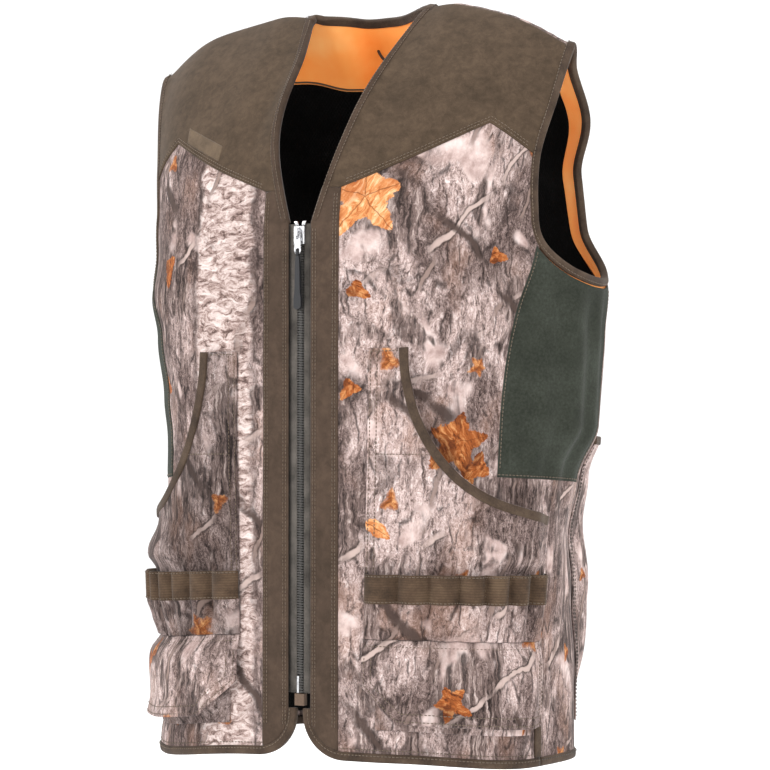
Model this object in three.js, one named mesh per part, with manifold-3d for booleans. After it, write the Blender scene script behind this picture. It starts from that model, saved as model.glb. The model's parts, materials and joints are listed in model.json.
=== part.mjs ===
// A hunting vest with a full front zip, hanging at the shoulders as on a hanger.
// Millimetres, +Z up. The front faces -Y and the wearer's left is +X.
// Every cloth piece lies on one torso surface, described by a bearing round the body
// (0 at the centre front, 90 at the wearer's left side, 180 at the centre back, in degrees)
// and by a rise: the height above the hem, which carries on over the shoulder ridge.
import * as THREE from 'three';
import Module from 'manifold-3d';
import { mergeVertices } from 'three/addons/utils/BufferGeometryUtils.js';

// ---------------------------------------------------------------- driving dimensions
const NECK_HEIGHT = 722;          // shoulder ridge at the side of the neck, above the hem
const NECK_HALF_WIDTH = 71;
const SHOULDER_FALL = 0.36;       // drop of the shoulder ridge per mm towards the arm
const SHOULDER_FULLNESS = 9;      // how far the ridge bows up halfway along the shoulder
const SHOULDER_SPAN = 130;
const RIDGE_RADIUS = 12;          // roundness of the fold over the shoulder
const SHOULDER_LEAN = 135;        // how soon the chest falls away from the ridge
const RIDGE_DEPTH = 5;            // y of the shoulder ridge
const NAPE_RISE = 50;             // how far the ridge line would rise at the centre of the neck
const FRONT_Y = -130;             // plane of the zip
const HEM_HALF_WIDTH = 207;
const CHEST_HALF_WIDTH = 226;
const HEM_HALF_DEPTH = 116;
const CHEST_HALF_DEPTH = 130;
const CHEST_RISE = 420;
const SQUARENESS = 0.12;          // fullness of the section between front and side

const SHELL = 2.2;                // outer cloth
const LINING = 1.4;
const LINING_DEPTH = 3.8;         // inner face of the back's lining, below the base surface
const FRONT_LINING_DEPTH = 3.2;
const SEAM_GAP = 0.35;            // clearance between pieces sewn edge to edge
const LAYER_GAP = 0.4;            // clearance between stacked layers
const BINDING_WIDTH = 8;
const BINDING_THICKNESS = 7.4;

const ZIP_TOP = 497;
const ZIP_BOTTOM = 60;
const TAPE_INNER = 3.4;
const TAPE_OUTER = 16;
const TAPE_THICKNESS = 1.2;
const TEETH_INNER = 1.3;
const TEETH_OUTER = 3.1;
const TEETH_DEPTH = 4;
const PLACKET_INNER = 11.5;
const PLACKET_OUTER = 40;
const CORNER_RADIUS = 42;         // rounded lower corner of each front
const FRONT_EDGE = 1.5;           // the fronts' edge beside the centre line, below the zip

const SIDE_SEAM = 77;             // bearing of the side seam
const VENT_TOP = 60;
const SIDE_PANEL_FRONT = 52;
const SIDE_PANEL_BACK = 100;
const SIDE_PANEL_BOTTOM = 262;
const ARMHOLE_BOTTOM = 441;

const YOKE_INNER_RISE = 532;
const YOKE_PEAK_X = 166;
const YOKE_PEAK_RISE = 590;
const YOKE_ARM_RISE = 563;
const SHOULDER_SEAM_FORWARD = 14; // the back reaches this far over the ridge
const NAPE_HEIGHT = 723;          // centre of the back neckline
const FACING_BOTTOM = 662;        // lower edge of the facing inside the back neck
const FACING_WIDTH = 34;          // facing round the armhole

const POCKET_INNER_X = 66;
const POCKET_TOP = 381;
const POCKET_MOUTH_X = 109;       // where the curved pocket mouth leaves the top edge
const POCKET_MOUTH_END = 226;     // where the curved pocket mouth meets the side
const POCKET_PUFF = 8;
const POCKET_OUTER = 75;          // bearing of the pocket's outer end
const BAND_TOP = 173;
const BAND_HEIGHT = 27;
const TUBE_HEIGHT = 33;
const LOOP_COUNT = 7;
const LOOP_BULGE = 11;
const FLAP_TOP = 109;
const FLAP_LENGTH = 71;
const FLAP_CHAMFER = 32;
const FLAP_STAND_OFF = 16;
const BAG_INSET = 12;
const BAG_BOTTOM = 30;
const BAG_DIP = 30;               // the bag's mouth sinks this much at its ends
const CLOTH = 1.8;                // pockets, flaps and tubes
const BINDING_CLOTH = 2.6;
const PLACKET = 2.6;
const LINING_INNER = 17.5;        // the lining's edge beside the zip

const POUCH_EDGE = 106;           // bearing of the game pouch's sides
const POUCH_TOP = 292;
const POUCH_BOTTOM = 34;
const POUCH_PUFF = 20;

const SLIDER_LENGTH = 17;
const SLIDER_WIDTH = 11;
const SLIDER_PLATE = 1.4;
const SLIDER_THICKNESS = 8.6;
const DIVIDER = 1.7;
const PULL_LENGTH = 21;
const PULL_WIDTH = 7.2;
const PULL_THICKNESS = 1.8;
const GRIP_LENGTH = 50;
const GRIP_WIDTH = 7.5;
const GRIP_THICKNESS = 3.4;

// ---------------------------------------------------------------- colours
const CAMOUFLAGE = { color: 0x9f8a80, roughness: 0.9, metalness: 0 };
const SUEDE = { color: 0x6b5c4b, roughness: 0.95, metalness: 0 };
const BINDING = { color: 0x5a4e44, roughness: 0.9, metalness: 0 };
const FLEECE = { color: 0x484b44, roughness: 1, metalness: 0 };
const ORANGE = { color: 0xf0822d, roughness: 0.85, metalness: 0 };
const MESH = { color: 0x151515, roughness: 0.95, metalness: 0 };
const TAPE = { color: 0x5a5552, roughness: 0.85, metalness: 0 };
const TEETH = { color: 0x3a3836, roughness: 0.45, metalness: 0.4 };
const METAL = { color: 0xc9c9c9, roughness: 0.3, metalness: 1 };
const RUBBER = { color: 0x17171a, roughness: 0.6, metalness: 0 };

// ---------------------------------------------------------------- torso surface
const radians = (degrees) => degrees * Math.PI / 180;
const mix = (a, b, k) => a + (b - a) * k;
const smooth = (k) => { const c = Math.min(1, Math.max(0, k)); return c * c * (3 - 2 * c); };

function halfWidth(rise) {
  return mix(HEM_HALF_WIDTH, CHEST_HALF_WIDTH, smooth(rise / CHEST_RISE));
}

function halfDepth(rise) {
  return mix(HEM_HALF_DEPTH, CHEST_HALF_DEPTH, smooth(rise / CHEST_RISE));
}

function ridgeHeight(x) {
  const out = Math.abs(x) - NECK_HALF_WIDTH;
  if (out >= 0) {
    const along = Math.min(1, out / SHOULDER_SPAN);
    return NECK_HEIGHT - SHOULDER_FALL * out + SHOULDER_FULLNESS * Math.sin(Math.PI * along);
  }
  const inward = 1 - (x / NECK_HALF_WIDTH) ** 2;
  return NECK_HEIGHT + NAPE_RISE * inward ** 2;
}

function middleDepth(height) {
  const atFront = (h) => FRONT_Y
    + halfDepth(h) * Math.tanh((ridgeHeight(0) + RIDGE_RADIUS - h) / SHOULDER_LEAN);
  if (height <= ZIP_TOP) return atFront(height);
  return mix(atFront(ZIP_TOP), RIDGE_DEPTH, smooth((height - ZIP_TOP) / (NECK_HEIGHT - ZIP_TOP)));
}

function sectionX(bearing) {
  const a = radians(bearing);
  return Math.sin(a) * (1 + SQUARENESS * Math.cos(a) ** 2);
}

function sectionY(bearing) {
  const a = radians(bearing);
  return Math.cos(a) * (1 + SQUARENESS * Math.sin(a) ** 2);
}

function surface(bearing, rise) {
  const x = halfWidth(rise) * sectionX(bearing);
  const fromRidge = ridgeHeight(x) + RIDGE_RADIUS - rise;
  const z = ridgeHeight(x) + RIDGE_RADIUS - Math.hypot(fromRidge, RIDGE_RADIUS);
  const y = middleDepth(z) - halfDepth(rise) * sectionY(bearing) * Math.tanh(fromRidge / SHOULDER_LEAN);
  return new THREE.Vector3(x, y, z);
}

function surfaceNormal(bearing, rise) {
  const step = 0.05;
  const along = surface(bearing + step, rise).sub(surface(bearing - step, rise));
  const up = surface(bearing, rise + step).sub(surface(bearing, rise - step));
  return along.cross(up).normalize();
}

// The bearing, in front of the body or behind it, at which the surface is x from the middle.
function bearingAtX(x, rise, behind = false) {
  let low = 0;
  let high = 90;
  for (let i = 0; i < 40; i++) {
    const middle = (low + high) / 2;
    if (halfWidth(rise) * sectionX(middle) < x) low = middle;
    else high = middle;
  }
  return behind ? 180 - low : low;
}

function ridgeRise(bearing) {
  let rise = NECK_HEIGHT;
  for (let i = 0; i < 8; i++) {
    rise = ridgeHeight(halfWidth(rise) * sectionX(bearing)) + RIDGE_RADIUS;
  }
  return rise;
}

// ---------------------------------------------------------------- outlines
// An outline is a list of stations [bearing, rise]; neighbours share the same stations.
function straight(from, to, steps) {
  return Array.from({ length: steps + 1 }, (_, i) => [
    mix(from[0], to[0], i / steps), mix(from[1], to[1], i / steps),
  ]);
}

function atX(x, fromRise, toRise, steps) {
  return Array.from({ length: steps + 1 }, (_, i) => {
    const rise = mix(fromRise, toRise, i / steps);
    return [bearingAtX(x, rise), rise];
  });
}

function curved(points, stepsEach) {
  const spline = new THREE.CatmullRomCurve3(points.map(([b, r]) => new THREE.Vector3(b * 3, r, 0)));
  const count = (points.length - 1) * stepsEach;
  return Array.from({ length: count + 1 }, (_, i) => {
    const p = spline.getPoint(i / count);
    return [p.x / 3, p.y];
  });
}

// The same outline with each step cut into as many parts.
function refined(outline, parts) {
  const pieces = outline.slice(1).map((point, i) => straight(outline[i], point, parts));
  return joined(...pieces);
}

const joined = (...outlines) => outlines.reduce((all, next) => all.concat(all.length ? next.slice(1) : next), []);
const mirrored = (outline) => outline.map(([bearing, rise]) => [360 - bearing, rise]);
const moved = (outline, bearing, rise) => outline.map(([b, r]) => [b + bearing, r + rise]);

// ---------------------------------------------------------------- solids
// A cloth panel made of blocks, each between four outlines; the corners are those of
// its bottom and top. Blocks that meet share stations, and base(u, v) is the height of
// the inner face above the surface.
function panel({ blocks, base = () => 0, thickness = SHELL }) {
  const numbers = new Map();
  const inner = [];
  const outer = [];
  const faces = [];
  const vertex = (bearing, rise, height) => {
    const key = `${bearing.toFixed(4)} ${rise.toFixed(3)}`;
    if (!numbers.has(key)) {
      numbers.set(key, inner.length);
      const normal = surfaceNormal(bearing, rise);
      inner.push(surface(bearing, rise).addScaledVector(normal, height));
      outer.push(surface(bearing, rise).addScaledVector(normal, height + thickness));
    }
    return numbers.get(key);
  };
  for (const { left: leftSide, right: rightSide, bottom, top } of blocks) {
    const columns = bottom.length - 1;
    const rows = leftSide.length - 1;
    const left = [bottom[0], ...leftSide.slice(1, -1), top[0]];
    const right = [bottom[columns], ...rightSide.slice(1, -1), top[columns]];
    const at = (i, j) => {
      const u = i / columns;
      const v = j / rows;
      const [bearing, rise] = [0, 1].map((k) => (1 - u) * left[j][k] + u * right[j][k]
        + (1 - v) * bottom[i][k] + v * top[i][k]
        - (1 - u) * (1 - v) * bottom[0][k] - u * (1 - v) * bottom[columns][k]
        - (1 - u) * v * top[0][k] - u * v * top[columns][k]);
      return vertex(bearing, rise, base(u, v));
    };
    for (let i = 0; i < columns; i++) {
      for (let j = 0; j < rows; j++) {
        const [p, q, r, t] = [at(i, j), at(i + 1, j), at(i + 1, j + 1), at(i, j + 1)];
        faces.push([p, q, r], [p, r, t]);
      }
    }
  }
  const edges = new Set(faces.flatMap(([p, q, r]) => [`${p} ${q}`, `${q} ${r}`, `${r} ${p}`]));
  const count = inner.length;
  const index = faces.flatMap(([p, q, r]) => [count + p, count + q, count + r, p, r, q]);
  for (const edge of edges) {
    const [p, q] = edge.split(' ').map(Number);
    if (!edges.has(`${q} ${p}`)) index.push(p, q, count + q, p, count + q, count + p);
  }
  const geometry = new THREE.BufferGeometry();
  const positions = [...inner, ...outer].flatMap((point) => [point.x, point.y, point.z]);
  geometry.setAttribute('position', new THREE.Float32BufferAttribute(positions, 3));
  geometry.setIndex(index);
  return geometry;
}

// A tape of rectangular section along an outline; near and far are its edges, measured
// to the left of the direction of travel, and low and high its faces.
function tape(outline, { near, far, low, high, closed = false }) {
  const count = closed ? outline.length - 1 : outline.length;
  const corners = [];
  const points = outline.map(([bearing, rise]) => surface(bearing, rise));
  for (let i = 0; i < count; i++) {
    const last = outline.length - 1;
    const before = closed && i === 0 ? points[last - 1] : points[Math.max(0, i - 1)];
    const after = points[Math.min(last, i + 1)];
    const along = after.clone().sub(before).normalize();
    const normal = surfaceNormal(...outline[i]);
    const across = normal.clone().cross(along).normalize();
    const corner = (side, height) => points[i].clone().addScaledVector(across, side).addScaledVector(normal, height);
    corners.push([corner(near, low), corner(far, low), corner(far, high), corner(near, high)]);
  }
  return ringSolid(corners, closed);
}

// A solid swept through rings of points, each ring in the same order.
function ringSolid(rings, closed = false) {
  const size = rings[0].length;
  const positions = rings.flat().flatMap((p) => [p.x, p.y, p.z]);
  const faces = [];
  const spans = closed ? rings.length : rings.length - 1;
  for (let i = 0; i < spans; i++) {
    const next = (i + 1) % rings.length;
    for (let k = 0; k < size; k++) {
      const a = i * size + k;
      const b = i * size + (k + 1) % size;
      const c = next * size + (k + 1) % size;
      const d = next * size + k;
      faces.push(a, c, b, a, d, c);
    }
  }
  if (!closed) {
    const end = (rings.length - 1) * size;
    for (let k = 1; k < size - 1; k++) {
      faces.push(0, k, k + 1);
      faces.push(end, end + k + 1, end + k);
    }
  }
  const geometry = new THREE.BufferGeometry();
  geometry.setAttribute('position', new THREE.Float32BufferAttribute(positions, 3));
  geometry.setIndex(faces);
  return geometry;
}

// Turns a solid inside out if its volume comes out negative, and mirrors it for the right side.
function finished(geometry, side = 1) {
  const position = geometry.getAttribute('position');
  for (let i = 0; i < position.count; i++) position.setX(i, position.getX(i) * side);
  const index = geometry.getIndex();
  const point = (i) => new THREE.Vector3().fromBufferAttribute(position, index.getX(i));
  let volume = 0;
  for (let i = 0; i < index.count; i += 3) volume += point(i).dot(point(i + 1).cross(point(i + 2)));
  if (volume < 0) {
    for (let i = 0; i < index.count; i += 3) {
      const kept = index.getX(i + 1);
      index.setX(i + 1, index.getX(i + 2));
      index.setX(i + 2, kept);
    }
  }
  geometry.computeVertexNormals();
  return geometry;
}

const vest = new THREE.Group();
vest.name = 'vest';
vest.position.set(0, -RIDGE_DEPTH, -NECK_HEIGHT);

function add(name, geometry, look, side = 1) {
  const mesh = new THREE.Mesh(finished(geometry, side), new THREE.MeshStandardMaterial(look));
  mesh.name = name;
  vest.add(mesh);
  return mesh;
}

function bar(xLow, xHigh, yLow, yHigh, zLow, zHigh) {
  const box = new THREE.BoxGeometry(xHigh - xLow, yHigh - yLow, zHigh - zLow);
  box.translate((xLow + xHigh) / 2, (yLow + yHigh) / 2, (zLow + zHigh) / 2);
  return box;
}

// ---------------------------------------------------------------- shared outlines
const INSIDE = -LINING_DEPTH;
const OVER_SHELL = SHELL + LAYER_GAP;
const BINDING_LOW = INSIDE - 0.6;
const EDGE = { low: BINDING_LOW, high: BINDING_LOW + BINDING_THICKNESS };
const SEAM_TURN = 0.05;           // half a seam gap, as a bearing
const MM_PER_DEGREE = 3.75;       // round the chest

// An outline beside another one, so far to the left of its direction of travel.
function beside(outline, distance) {
  return outline.map(([bearing, rise], i) => {
    const [b0, r0] = outline[Math.max(0, i - 1)];
    const [b1, r1] = outline[Math.min(outline.length - 1, i + 1)];
    const along = new THREE.Vector2((b1 - b0) * MM_PER_DEGREE, r1 - r0).normalize();
    return [bearing - along.y * distance / MM_PER_DEGREE, rise + along.x * distance];
  });
}

const tipBearing = 62;
const overRidge = (bearing) => ridgeRise(bearing) + SHOULDER_SEAM_FORWARD;
const beforeRidge = (bearing) => ridgeRise(bearing) - SHOULDER_SEAM_FORWARD;
const armhole = curved([
  [tipBearing, beforeRidge(tipBearing)], [60.6, 625], [60, YOKE_ARM_RISE], [61, 515], [63.5, 478],
  [73, 450], [87, ARMHOLE_BOTTOM], [SIDE_PANEL_BACK, 447], [113, 482], [121.5, 545],
  [122.5, 612], [120.6, 656], [118.6, ridgeRise(180 - tipBearing) - 10],
  [180 - tipBearing, overRidge(tipBearing)],
], 2);
const armholeYoke = armhole.slice(0, 5).reverse();
const armholeFront = armhole.slice(4, 9).reverse();
const armholeSide = armhole.slice(8, 15);
const armholeBack = armhole.slice(14);

// The front neck edge runs from the top of the zip to the side of the neck.
function neckOutline(outward) {
  const rises = [500, YOKE_INNER_RISE, 578, 622, 664];
  const widths = [PLACKET_INNER, 21, 34, 45, 56];
  const points = rises.map((rise, i) => [bearingAtX(widths[i] + outward, rise), rise]);
  const side = bearingAtX(NECK_HALF_WIDTH + outward, NECK_HEIGHT);
  points.push([side, beforeRidge(side)]);
  return curved(points, 2);
}
const neckEdge = neckOutline(0);
const neckSeam = neckOutline(BINDING_WIDTH + SEAM_GAP);
const neckSide = neckSeam[neckSeam.length - 1][0];
const napeHalf = curved([
  [180 - neckSide, overRidge(neckSide)], [180 - neckSide, ridgeRise(neckSide)],
  [166, 724], [173, 722], [180, NAPE_HEIGHT],
], 1);
const nape = joined(napeHalf, mirrored(napeHalf).reverse());

const yokePeak = [bearingAtX(YOKE_PEAK_X, YOKE_PEAK_RISE), YOKE_PEAK_RISE];
const yokeInner = [bearingAtX(PLACKET_OUTER, YOKE_INNER_RISE), YOKE_INNER_RISE];
const panelTop = joined(
  straight(yokeInner, yokePeak, 4),
  straight(yokePeak, armholeYoke[0], 2),
);
const cornerX = PLACKET_INNER + CORNER_RADIUS - BINDING_WIDTH;
const cornerEnd = Math.acos((PLACKET_OUTER - cornerX) / (CORNER_RADIUS - BINDING_WIDTH));
const placketBottom = Array.from({ length: 6 }, (_, i) => {
  const turn = mix(Math.PI, cornerEnd, i / 5);
  const radius = CORNER_RADIUS - BINDING_WIDTH;
  const rise = CORNER_RADIUS - radius * Math.sin(turn);
  return [bearingAtX(cornerX + radius * Math.cos(turn), rise), rise];
});
const placketCorner = placketBottom[placketBottom.length - 1];
const frontHem = straight(placketCorner, [SIDE_SEAM, BINDING_WIDTH], 9);
const sideStepRise = mix(SIDE_PANEL_BOTTOM, SIDE_PANEL_BOTTOM - 6,
  (SIDE_SEAM - SIDE_PANEL_FRONT) / (SIDE_PANEL_BACK - SIDE_PANEL_FRONT));
const stepPoint = [SIDE_SEAM, sideStepRise];
const sideFrontFoot = [SIDE_PANEL_FRONT, SIDE_PANEL_BOTTOM];
const sideBackFoot = [SIDE_PANEL_BACK, SIDE_PANEL_BOTTOM - 6];
const sideFrontSeam = curved([sideFrontFoot, [52.5, 340], [56, 410], [63.5, 478]], 2);
const sideBackSeam = straight(sideBackFoot, armholeSide[armholeSide.length - 1], 6);

// ---------------------------------------------------------------- back and shoulders
const BACK_COLUMNS = 16;
const LOWER_ROWS = 7;

function backPanel() {
  const low = moved(straight([SIDE_SEAM, BINDING_WIDTH], stepPoint, LOWER_ROWS), SEAM_TURN, 0);
  const step = straight(low[LOWER_ROWS], sideBackFoot, 3);
  const waist = joined(step, straight(sideBackFoot, mirrored([sideBackFoot])[0], BACK_COLUMNS), mirrored(step).reverse());
  const side = joined(sideBackSeam, armholeBack);
  const shoulder = straight([180 - tipBearing, 0], [180 - neckSide, 0], 4)
    .map(([bearing]) => [bearing, overRidge(bearing)]);
  const hem = joined(
    straight(low[0], [SIDE_PANEL_BACK, BINDING_WIDTH], 3),
    straight([SIDE_PANEL_BACK, BINDING_WIDTH], [360 - SIDE_PANEL_BACK, BINDING_WIDTH], BACK_COLUMNS),
    straight([360 - SIDE_PANEL_BACK, BINDING_WIDTH], [360 - low[0][0], BINDING_WIDTH], 3),
  );
  return panel({
    blocks: [
      { left: low, right: mirrored(low), bottom: hem, top: waist },
      {
        left: side,
        right: mirrored(side),
        bottom: waist.slice(3, -3),
        top: joined(shoulder, nape, mirrored(shoulder).reverse()),
      },
    ],
  });
}

function pouchHeight(u, v) {
  const across = smooth(Math.min(u, 1 - u) / 0.22);
  const up = smooth(v / 0.3) * mix(1, 0.5, smooth((v - 0.4) / 0.6));
  return OVER_SHELL + 0.5 + POUCH_PUFF * across * up;
}

// A four-cornered patch between two bearings and two rises.
function patch(fromBearing, toBearing, fromRise, toRise, columns, rows) {
  return {
    blocks: [{
      left: straight([fromBearing, fromRise], [fromBearing, toRise], rows),
      right: straight([toBearing, fromRise], [toBearing, toRise], rows),
      bottom: straight([fromBearing, fromRise], [toBearing, fromRise], columns),
      top: straight([fromBearing, toRise], [toBearing, toRise], columns),
    }],
  };
}

const gamePouch = () => panel({
  ...patch(POUCH_EDGE, 360 - POUCH_EDGE, POUCH_BOTTOM, POUCH_TOP, 20, 8),
  base: pouchHeight,
});

const pouchBinding = () => panel({
  ...patch(POUCH_EDGE, 360 - POUCH_EDGE, POUCH_TOP + SEAM_GAP, POUCH_TOP + BINDING_WIDTH, 20, 1),
  base: (u) => pouchHeight(u, 1),
  thickness: BINDING_CLOTH,
});

const sidePanel = () => panel({
  blocks: [{
    left: moved(sideFrontSeam, 2 * SEAM_TURN, 0),
    right: moved(sideBackSeam, -SEAM_TURN, 0),
    bottom: moved(joined(
      straight(sideFrontFoot, stepPoint, 3),
      straight(stepPoint, sideBackFoot, 3),
    ), 0, 2 * SEAM_GAP),
    top: armholeSide,
  }],
});

function yoke() {
  const placketTop = straight(neckSeam[2], yokeInner, 1);
  const top = straight([neckSide, 0], [tipBearing, 0], panelTop.length)
    .map(([bearing]) => [bearing, beforeRidge(bearing) - 3 * SEAM_GAP]);
  return panel({
    blocks: [{
      left: neckSeam.slice(2),
      right: refined(armholeYoke, 2),
      bottom: moved(joined(placketTop, panelTop), 0, 2.6 * SEAM_GAP),
      top,
    }],
  });
}

function neckBand() {
  const left = neckEdge.slice(2);
  const right = moved(neckSeam.slice(2), -2 * SEAM_TURN, 0);
  return panel({
    blocks: [{
      left: moved(left, 0, SEAM_GAP),
      right: moved(right, 0, SEAM_GAP),
      bottom: moved([left[0], right[0]], 0, SEAM_GAP),
      top: moved([left[left.length - 1], right[right.length - 1]], 0, SEAM_GAP),
    }],
    base: () => EDGE.low,
    thickness: BINDING_THICKNESS,
  });
}

// The binding of the back neck stops short of the two front bands.
function neckBinding() {
  const outline = nape.map(([bearing, rise], i) => {
    const end = i === 0 || i === nape.length - 1;
    return [bearing, end ? rise - 6 : rise];
  });
  return tape(outline, { near: 4 * SEAM_GAP, far: BINDING_WIDTH, ...EDGE });
}

// A blank tab that follows the slope of the yoke's lower edge.
function yokeTab() {
  const slope = (YOKE_PEAK_RISE - YOKE_INNER_RISE) / (YOKE_PEAK_X - PLACKET_OUTER);
  const corner = (x, above) => {
    const rise = YOKE_INNER_RISE + slope * (x - PLACKET_OUTER) + above;
    return [bearingAtX(x, rise), rise];
  };
  const [x0, x1] = [103, 152];
  const [low, high] = [5, 19];
  return panel({
    blocks: [{
      left: [corner(x0, low), corner(x0, high)],
      right: [corner(x1, low), corner(x1, high)],
      bottom: straight(corner(x0, low), corner(x1, low), 4),
      top: straight(corner(x0, high), corner(x1, high), 4),
    }],
    base: () => OVER_SHELL,
    thickness: 0.8,
  });
}

// ---------------------------------------------------------------- inside of the back
const facingEdge = armhole.slice(0, -2);
const facingOutline = beside(facingEdge, -FACING_WIDTH);
const facingSeam = beside(facingEdge, -FACING_WIDTH - 2);
const LINING_LAYER = { base: () => INSIDE, thickness: LINING };

const armholeFacing = () => panel({
  blocks: [{
    left: facingEdge,
    right: facingOutline,
    bottom: [facingEdge[0], facingOutline[0]],
    top: [facingEdge.at(-1), facingOutline.at(-1)],
  }],
  ...LINING_LAYER,
});

function backLining() {
  const left = joined(
    straight([SIDE_SEAM + 0.3, 16], [SIDE_SEAM + 0.3, 398], 6),
    [[SIDE_SEAM + 0.3, 398], ...facingSeam.slice(12, 21)],
    straight(facingSeam[20], [facingSeam[20][0], FACING_BOTTOM - 2 * SEAM_GAP], 1),
  );
  const last = left[left.length - 1];
  return panel({
    blocks: [{
      left,
      right: mirrored(left),
      bottom: straight(left[0], [360 - left[0][0], 16], 24),
      top: straight(last, [360 - last[0], last[1]], 24),
    }],
    ...LINING_LAYER,
  });
}

function neckFacing() {
  const below = 13;
  const foot = [facingSeam[20][0], FACING_BOTTOM];
  const end = foot[0] - 3;
  const shoulder = straight([end, 0], [179 - neckSide, 0], 4)
    .map(([bearing]) => [bearing, ridgeRise(bearing) - below]);
  const left = straight(foot, shoulder[0], 3);
  return panel({
    blocks: [{
      left,
      right: mirrored(left),
      bottom: straight(foot, [360 - foot[0], FACING_BOTTOM], 14),
      top: joined(shoulder, [shoulder[4], ...moved(nape.slice(2, -2), 0, -3), mirrored(shoulder)[4]], mirrored(shoulder).reverse()),
    }],
    ...LINING_LAYER,
  });
}

const sizeLabel = () => panel({
  ...patch(176.6, 183.4, 622, 650, 2, 1),
  base: () => INSIDE - 3,
  thickness: 0.8,
});

function hangerLoop() {
  const rings = [];
  const steps = 10;
  for (let i = 0; i <= steps; i++) {
    const k = i / steps;
    const sag = Math.sin(Math.PI * k);
    const bearing = mix(174.5, 185.5, k);
    const centre = surface(bearing, 712 - 20 * sag)
      .addScaledVector(surfaceNormal(bearing, 712), INSIDE - 3.2 - 5 * sag);
    const turn = mix(Math.PI, 2 * Math.PI, k);
    const out = new THREE.Vector3(Math.cos(turn), 0, Math.sin(turn));
    const deep = new THREE.Vector3(0, 1, 0);
    rings.push(Array.from({ length: 8 }, (_, n) => {
      const a = n * Math.PI / 4;
      return centre.clone().addScaledVector(out, 1.6 * Math.cos(a)).addScaledVector(deep, 1.6 * Math.sin(a));
    }));
  }
  return ringSolid(rings);
}

// ---------------------------------------------------------------- fronts
function frontPanel() {
  const inner = (from, to, rows) => atX(PLACKET_OUTER + SEAM_GAP, from, to, rows);
  const low = inner(placketCorner[1], SIDE_PANEL_BOTTOM, LOWER_ROWS);
  const side = moved(straight([SIDE_SEAM, BINDING_WIDTH], stepPoint, LOWER_ROWS), -SEAM_TURN, 0);
  const waist = joined(
    straight(low[LOWER_ROWS], sideFrontFoot, 6),
    straight(sideFrontFoot, side[LOWER_ROWS], 3),
  );
  const seam = joined(sideFrontSeam, armholeFront);
  const high = inner(SIDE_PANEL_BOTTOM, YOKE_INNER_RISE, seam.length - 1);
  return panel({
    blocks: [
      { left: low, right: side, bottom: straight(low[0], side[0], 9), top: waist },
      { left: high, right: seam, bottom: waist.slice(0, 7), top: [high[seam.length - 1], ...panelTop.slice(1)] },
    ],
  });
}

const placket = () => panel({
  blocks: [{
    left: joined(atX(PLACKET_INNER, placketBottom[0][1], 500, 12), neckEdge.slice(0, 3)),
    right: atX(PLACKET_OUTER, placketCorner[1], YOKE_INNER_RISE, 14),
    bottom: placketBottom,
    top: straight(neckEdge[2], yokeInner, 5),
  }],
  thickness: PLACKET,
});

function frontHemBinding() {
  const start = ZIP_BOTTOM - 14;
  const above = [bearingAtX(PLACKET_INNER, start), start];
  const outline = joined([above, placketBottom[0]], placketBottom, moved(frontHem, 0, 0));
  outline[outline.length - 1] = [SIDE_SEAM - SEAM_TURN, BINDING_WIDTH];
  return tape(outline, { near: -SEAM_GAP, far: -BINDING_WIDTH, ...EDGE });
}

function backHemBinding() {
  const from = SIDE_SEAM + SEAM_TURN;
  const outline = straight([from, BINDING_WIDTH], [360 - from, BINDING_WIDTH], 16);
  return tape(outline, { near: -SEAM_GAP, far: -BINDING_WIDTH, ...EDGE });
}

// The binding folded over the edge of the side vent lies on the front panel.
const ventBinding = () => panel({
  ...patch(SIDE_SEAM - 2.3, SIDE_SEAM - 0.2, BINDING_WIDTH + 1, VENT_TOP, 1, 2),
  base: () => OVER_SHELL,
  thickness: 1.2,
});

// Above the side panel's foot the lining stays inside the front's own seam.
function frontLining() {
  const [foot, waist, rise] = [16, 250, 522];
  const [side, seam, shoulder] = [SIDE_SEAM - 0.3, SIDE_PANEL_FRONT - 1, SIDE_PANEL_FRONT - 3];
  const low = atX(LINING_INNER, 48, waist, 4);
  const high = joined(
    atX(LINING_INNER, waist, 500, 4),
    straight([bearingAtX(LINING_INNER, 500), 500], [bearingAtX(LINING_INNER + 10, rise), rise], 1),
  );
  const corner = [bearingAtX(LINING_INNER + 30, foot), foot];
  const middle = joined(straight(low[4], [seam, waist], 5), straight([seam, waist], [side, waist], 3));
  return panel({
    blocks: [
      {
        left: low,
        right: straight([side, foot], [side, waist], 4),
        bottom: joined(straight(low[0], corner, 2), straight(corner, [side, foot], 6)),
        top: middle,
      },
      {
        left: high,
        right: straight([seam, waist], [shoulder, rise], 5),
        bottom: middle.slice(0, 6),
        top: straight(high[5], [shoulder, rise], 5),
      },
    ],
    base: () => -FRONT_LINING_DEPTH,
    thickness: LINING,
  });
}

// ---------------------------------------------------------------- pockets
const pocketInner = (rise) => bearingAtX(POCKET_INNER_X, rise);
const mouthCurve = curved([
  [bearingAtX(POCKET_MOUTH_X, POCKET_TOP), POCKET_TOP], [bearingAtX(111, 354), 354],
  [bearingAtX(121, 316), 316], [bearingAtX(138, 283), 283], [bearingAtX(157, 260), 260],
  [bearingAtX(178, 244), 244], [62, 234], [POCKET_OUTER, POCKET_MOUTH_END],
], 2);
const pocketTop = joined(
  straight([pocketInner(POCKET_TOP), POCKET_TOP], mouthCurve[0], 2),
  mouthCurve,
);

function pocketHeight(u, v) {
  return OVER_SHELL + POCKET_PUFF * smooth(u / 0.25) * smooth((1 - u) / 0.15) * smooth(v / 0.25);
}

function handPocket() {
  const foot = BAND_TOP + LAYER_GAP;
  return panel({
    blocks: [{
      left: straight([pocketInner(foot), foot], [pocketInner(POCKET_TOP), POCKET_TOP], 7),
      right: straight([POCKET_OUTER, foot], [POCKET_OUTER, POCKET_MOUTH_END], 7),
      bottom: straight([pocketInner(foot), foot], [POCKET_OUTER, foot], 16),
      top: pocketTop,
    }],
    base: pocketHeight,
    thickness: CLOTH,
  });
}

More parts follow.
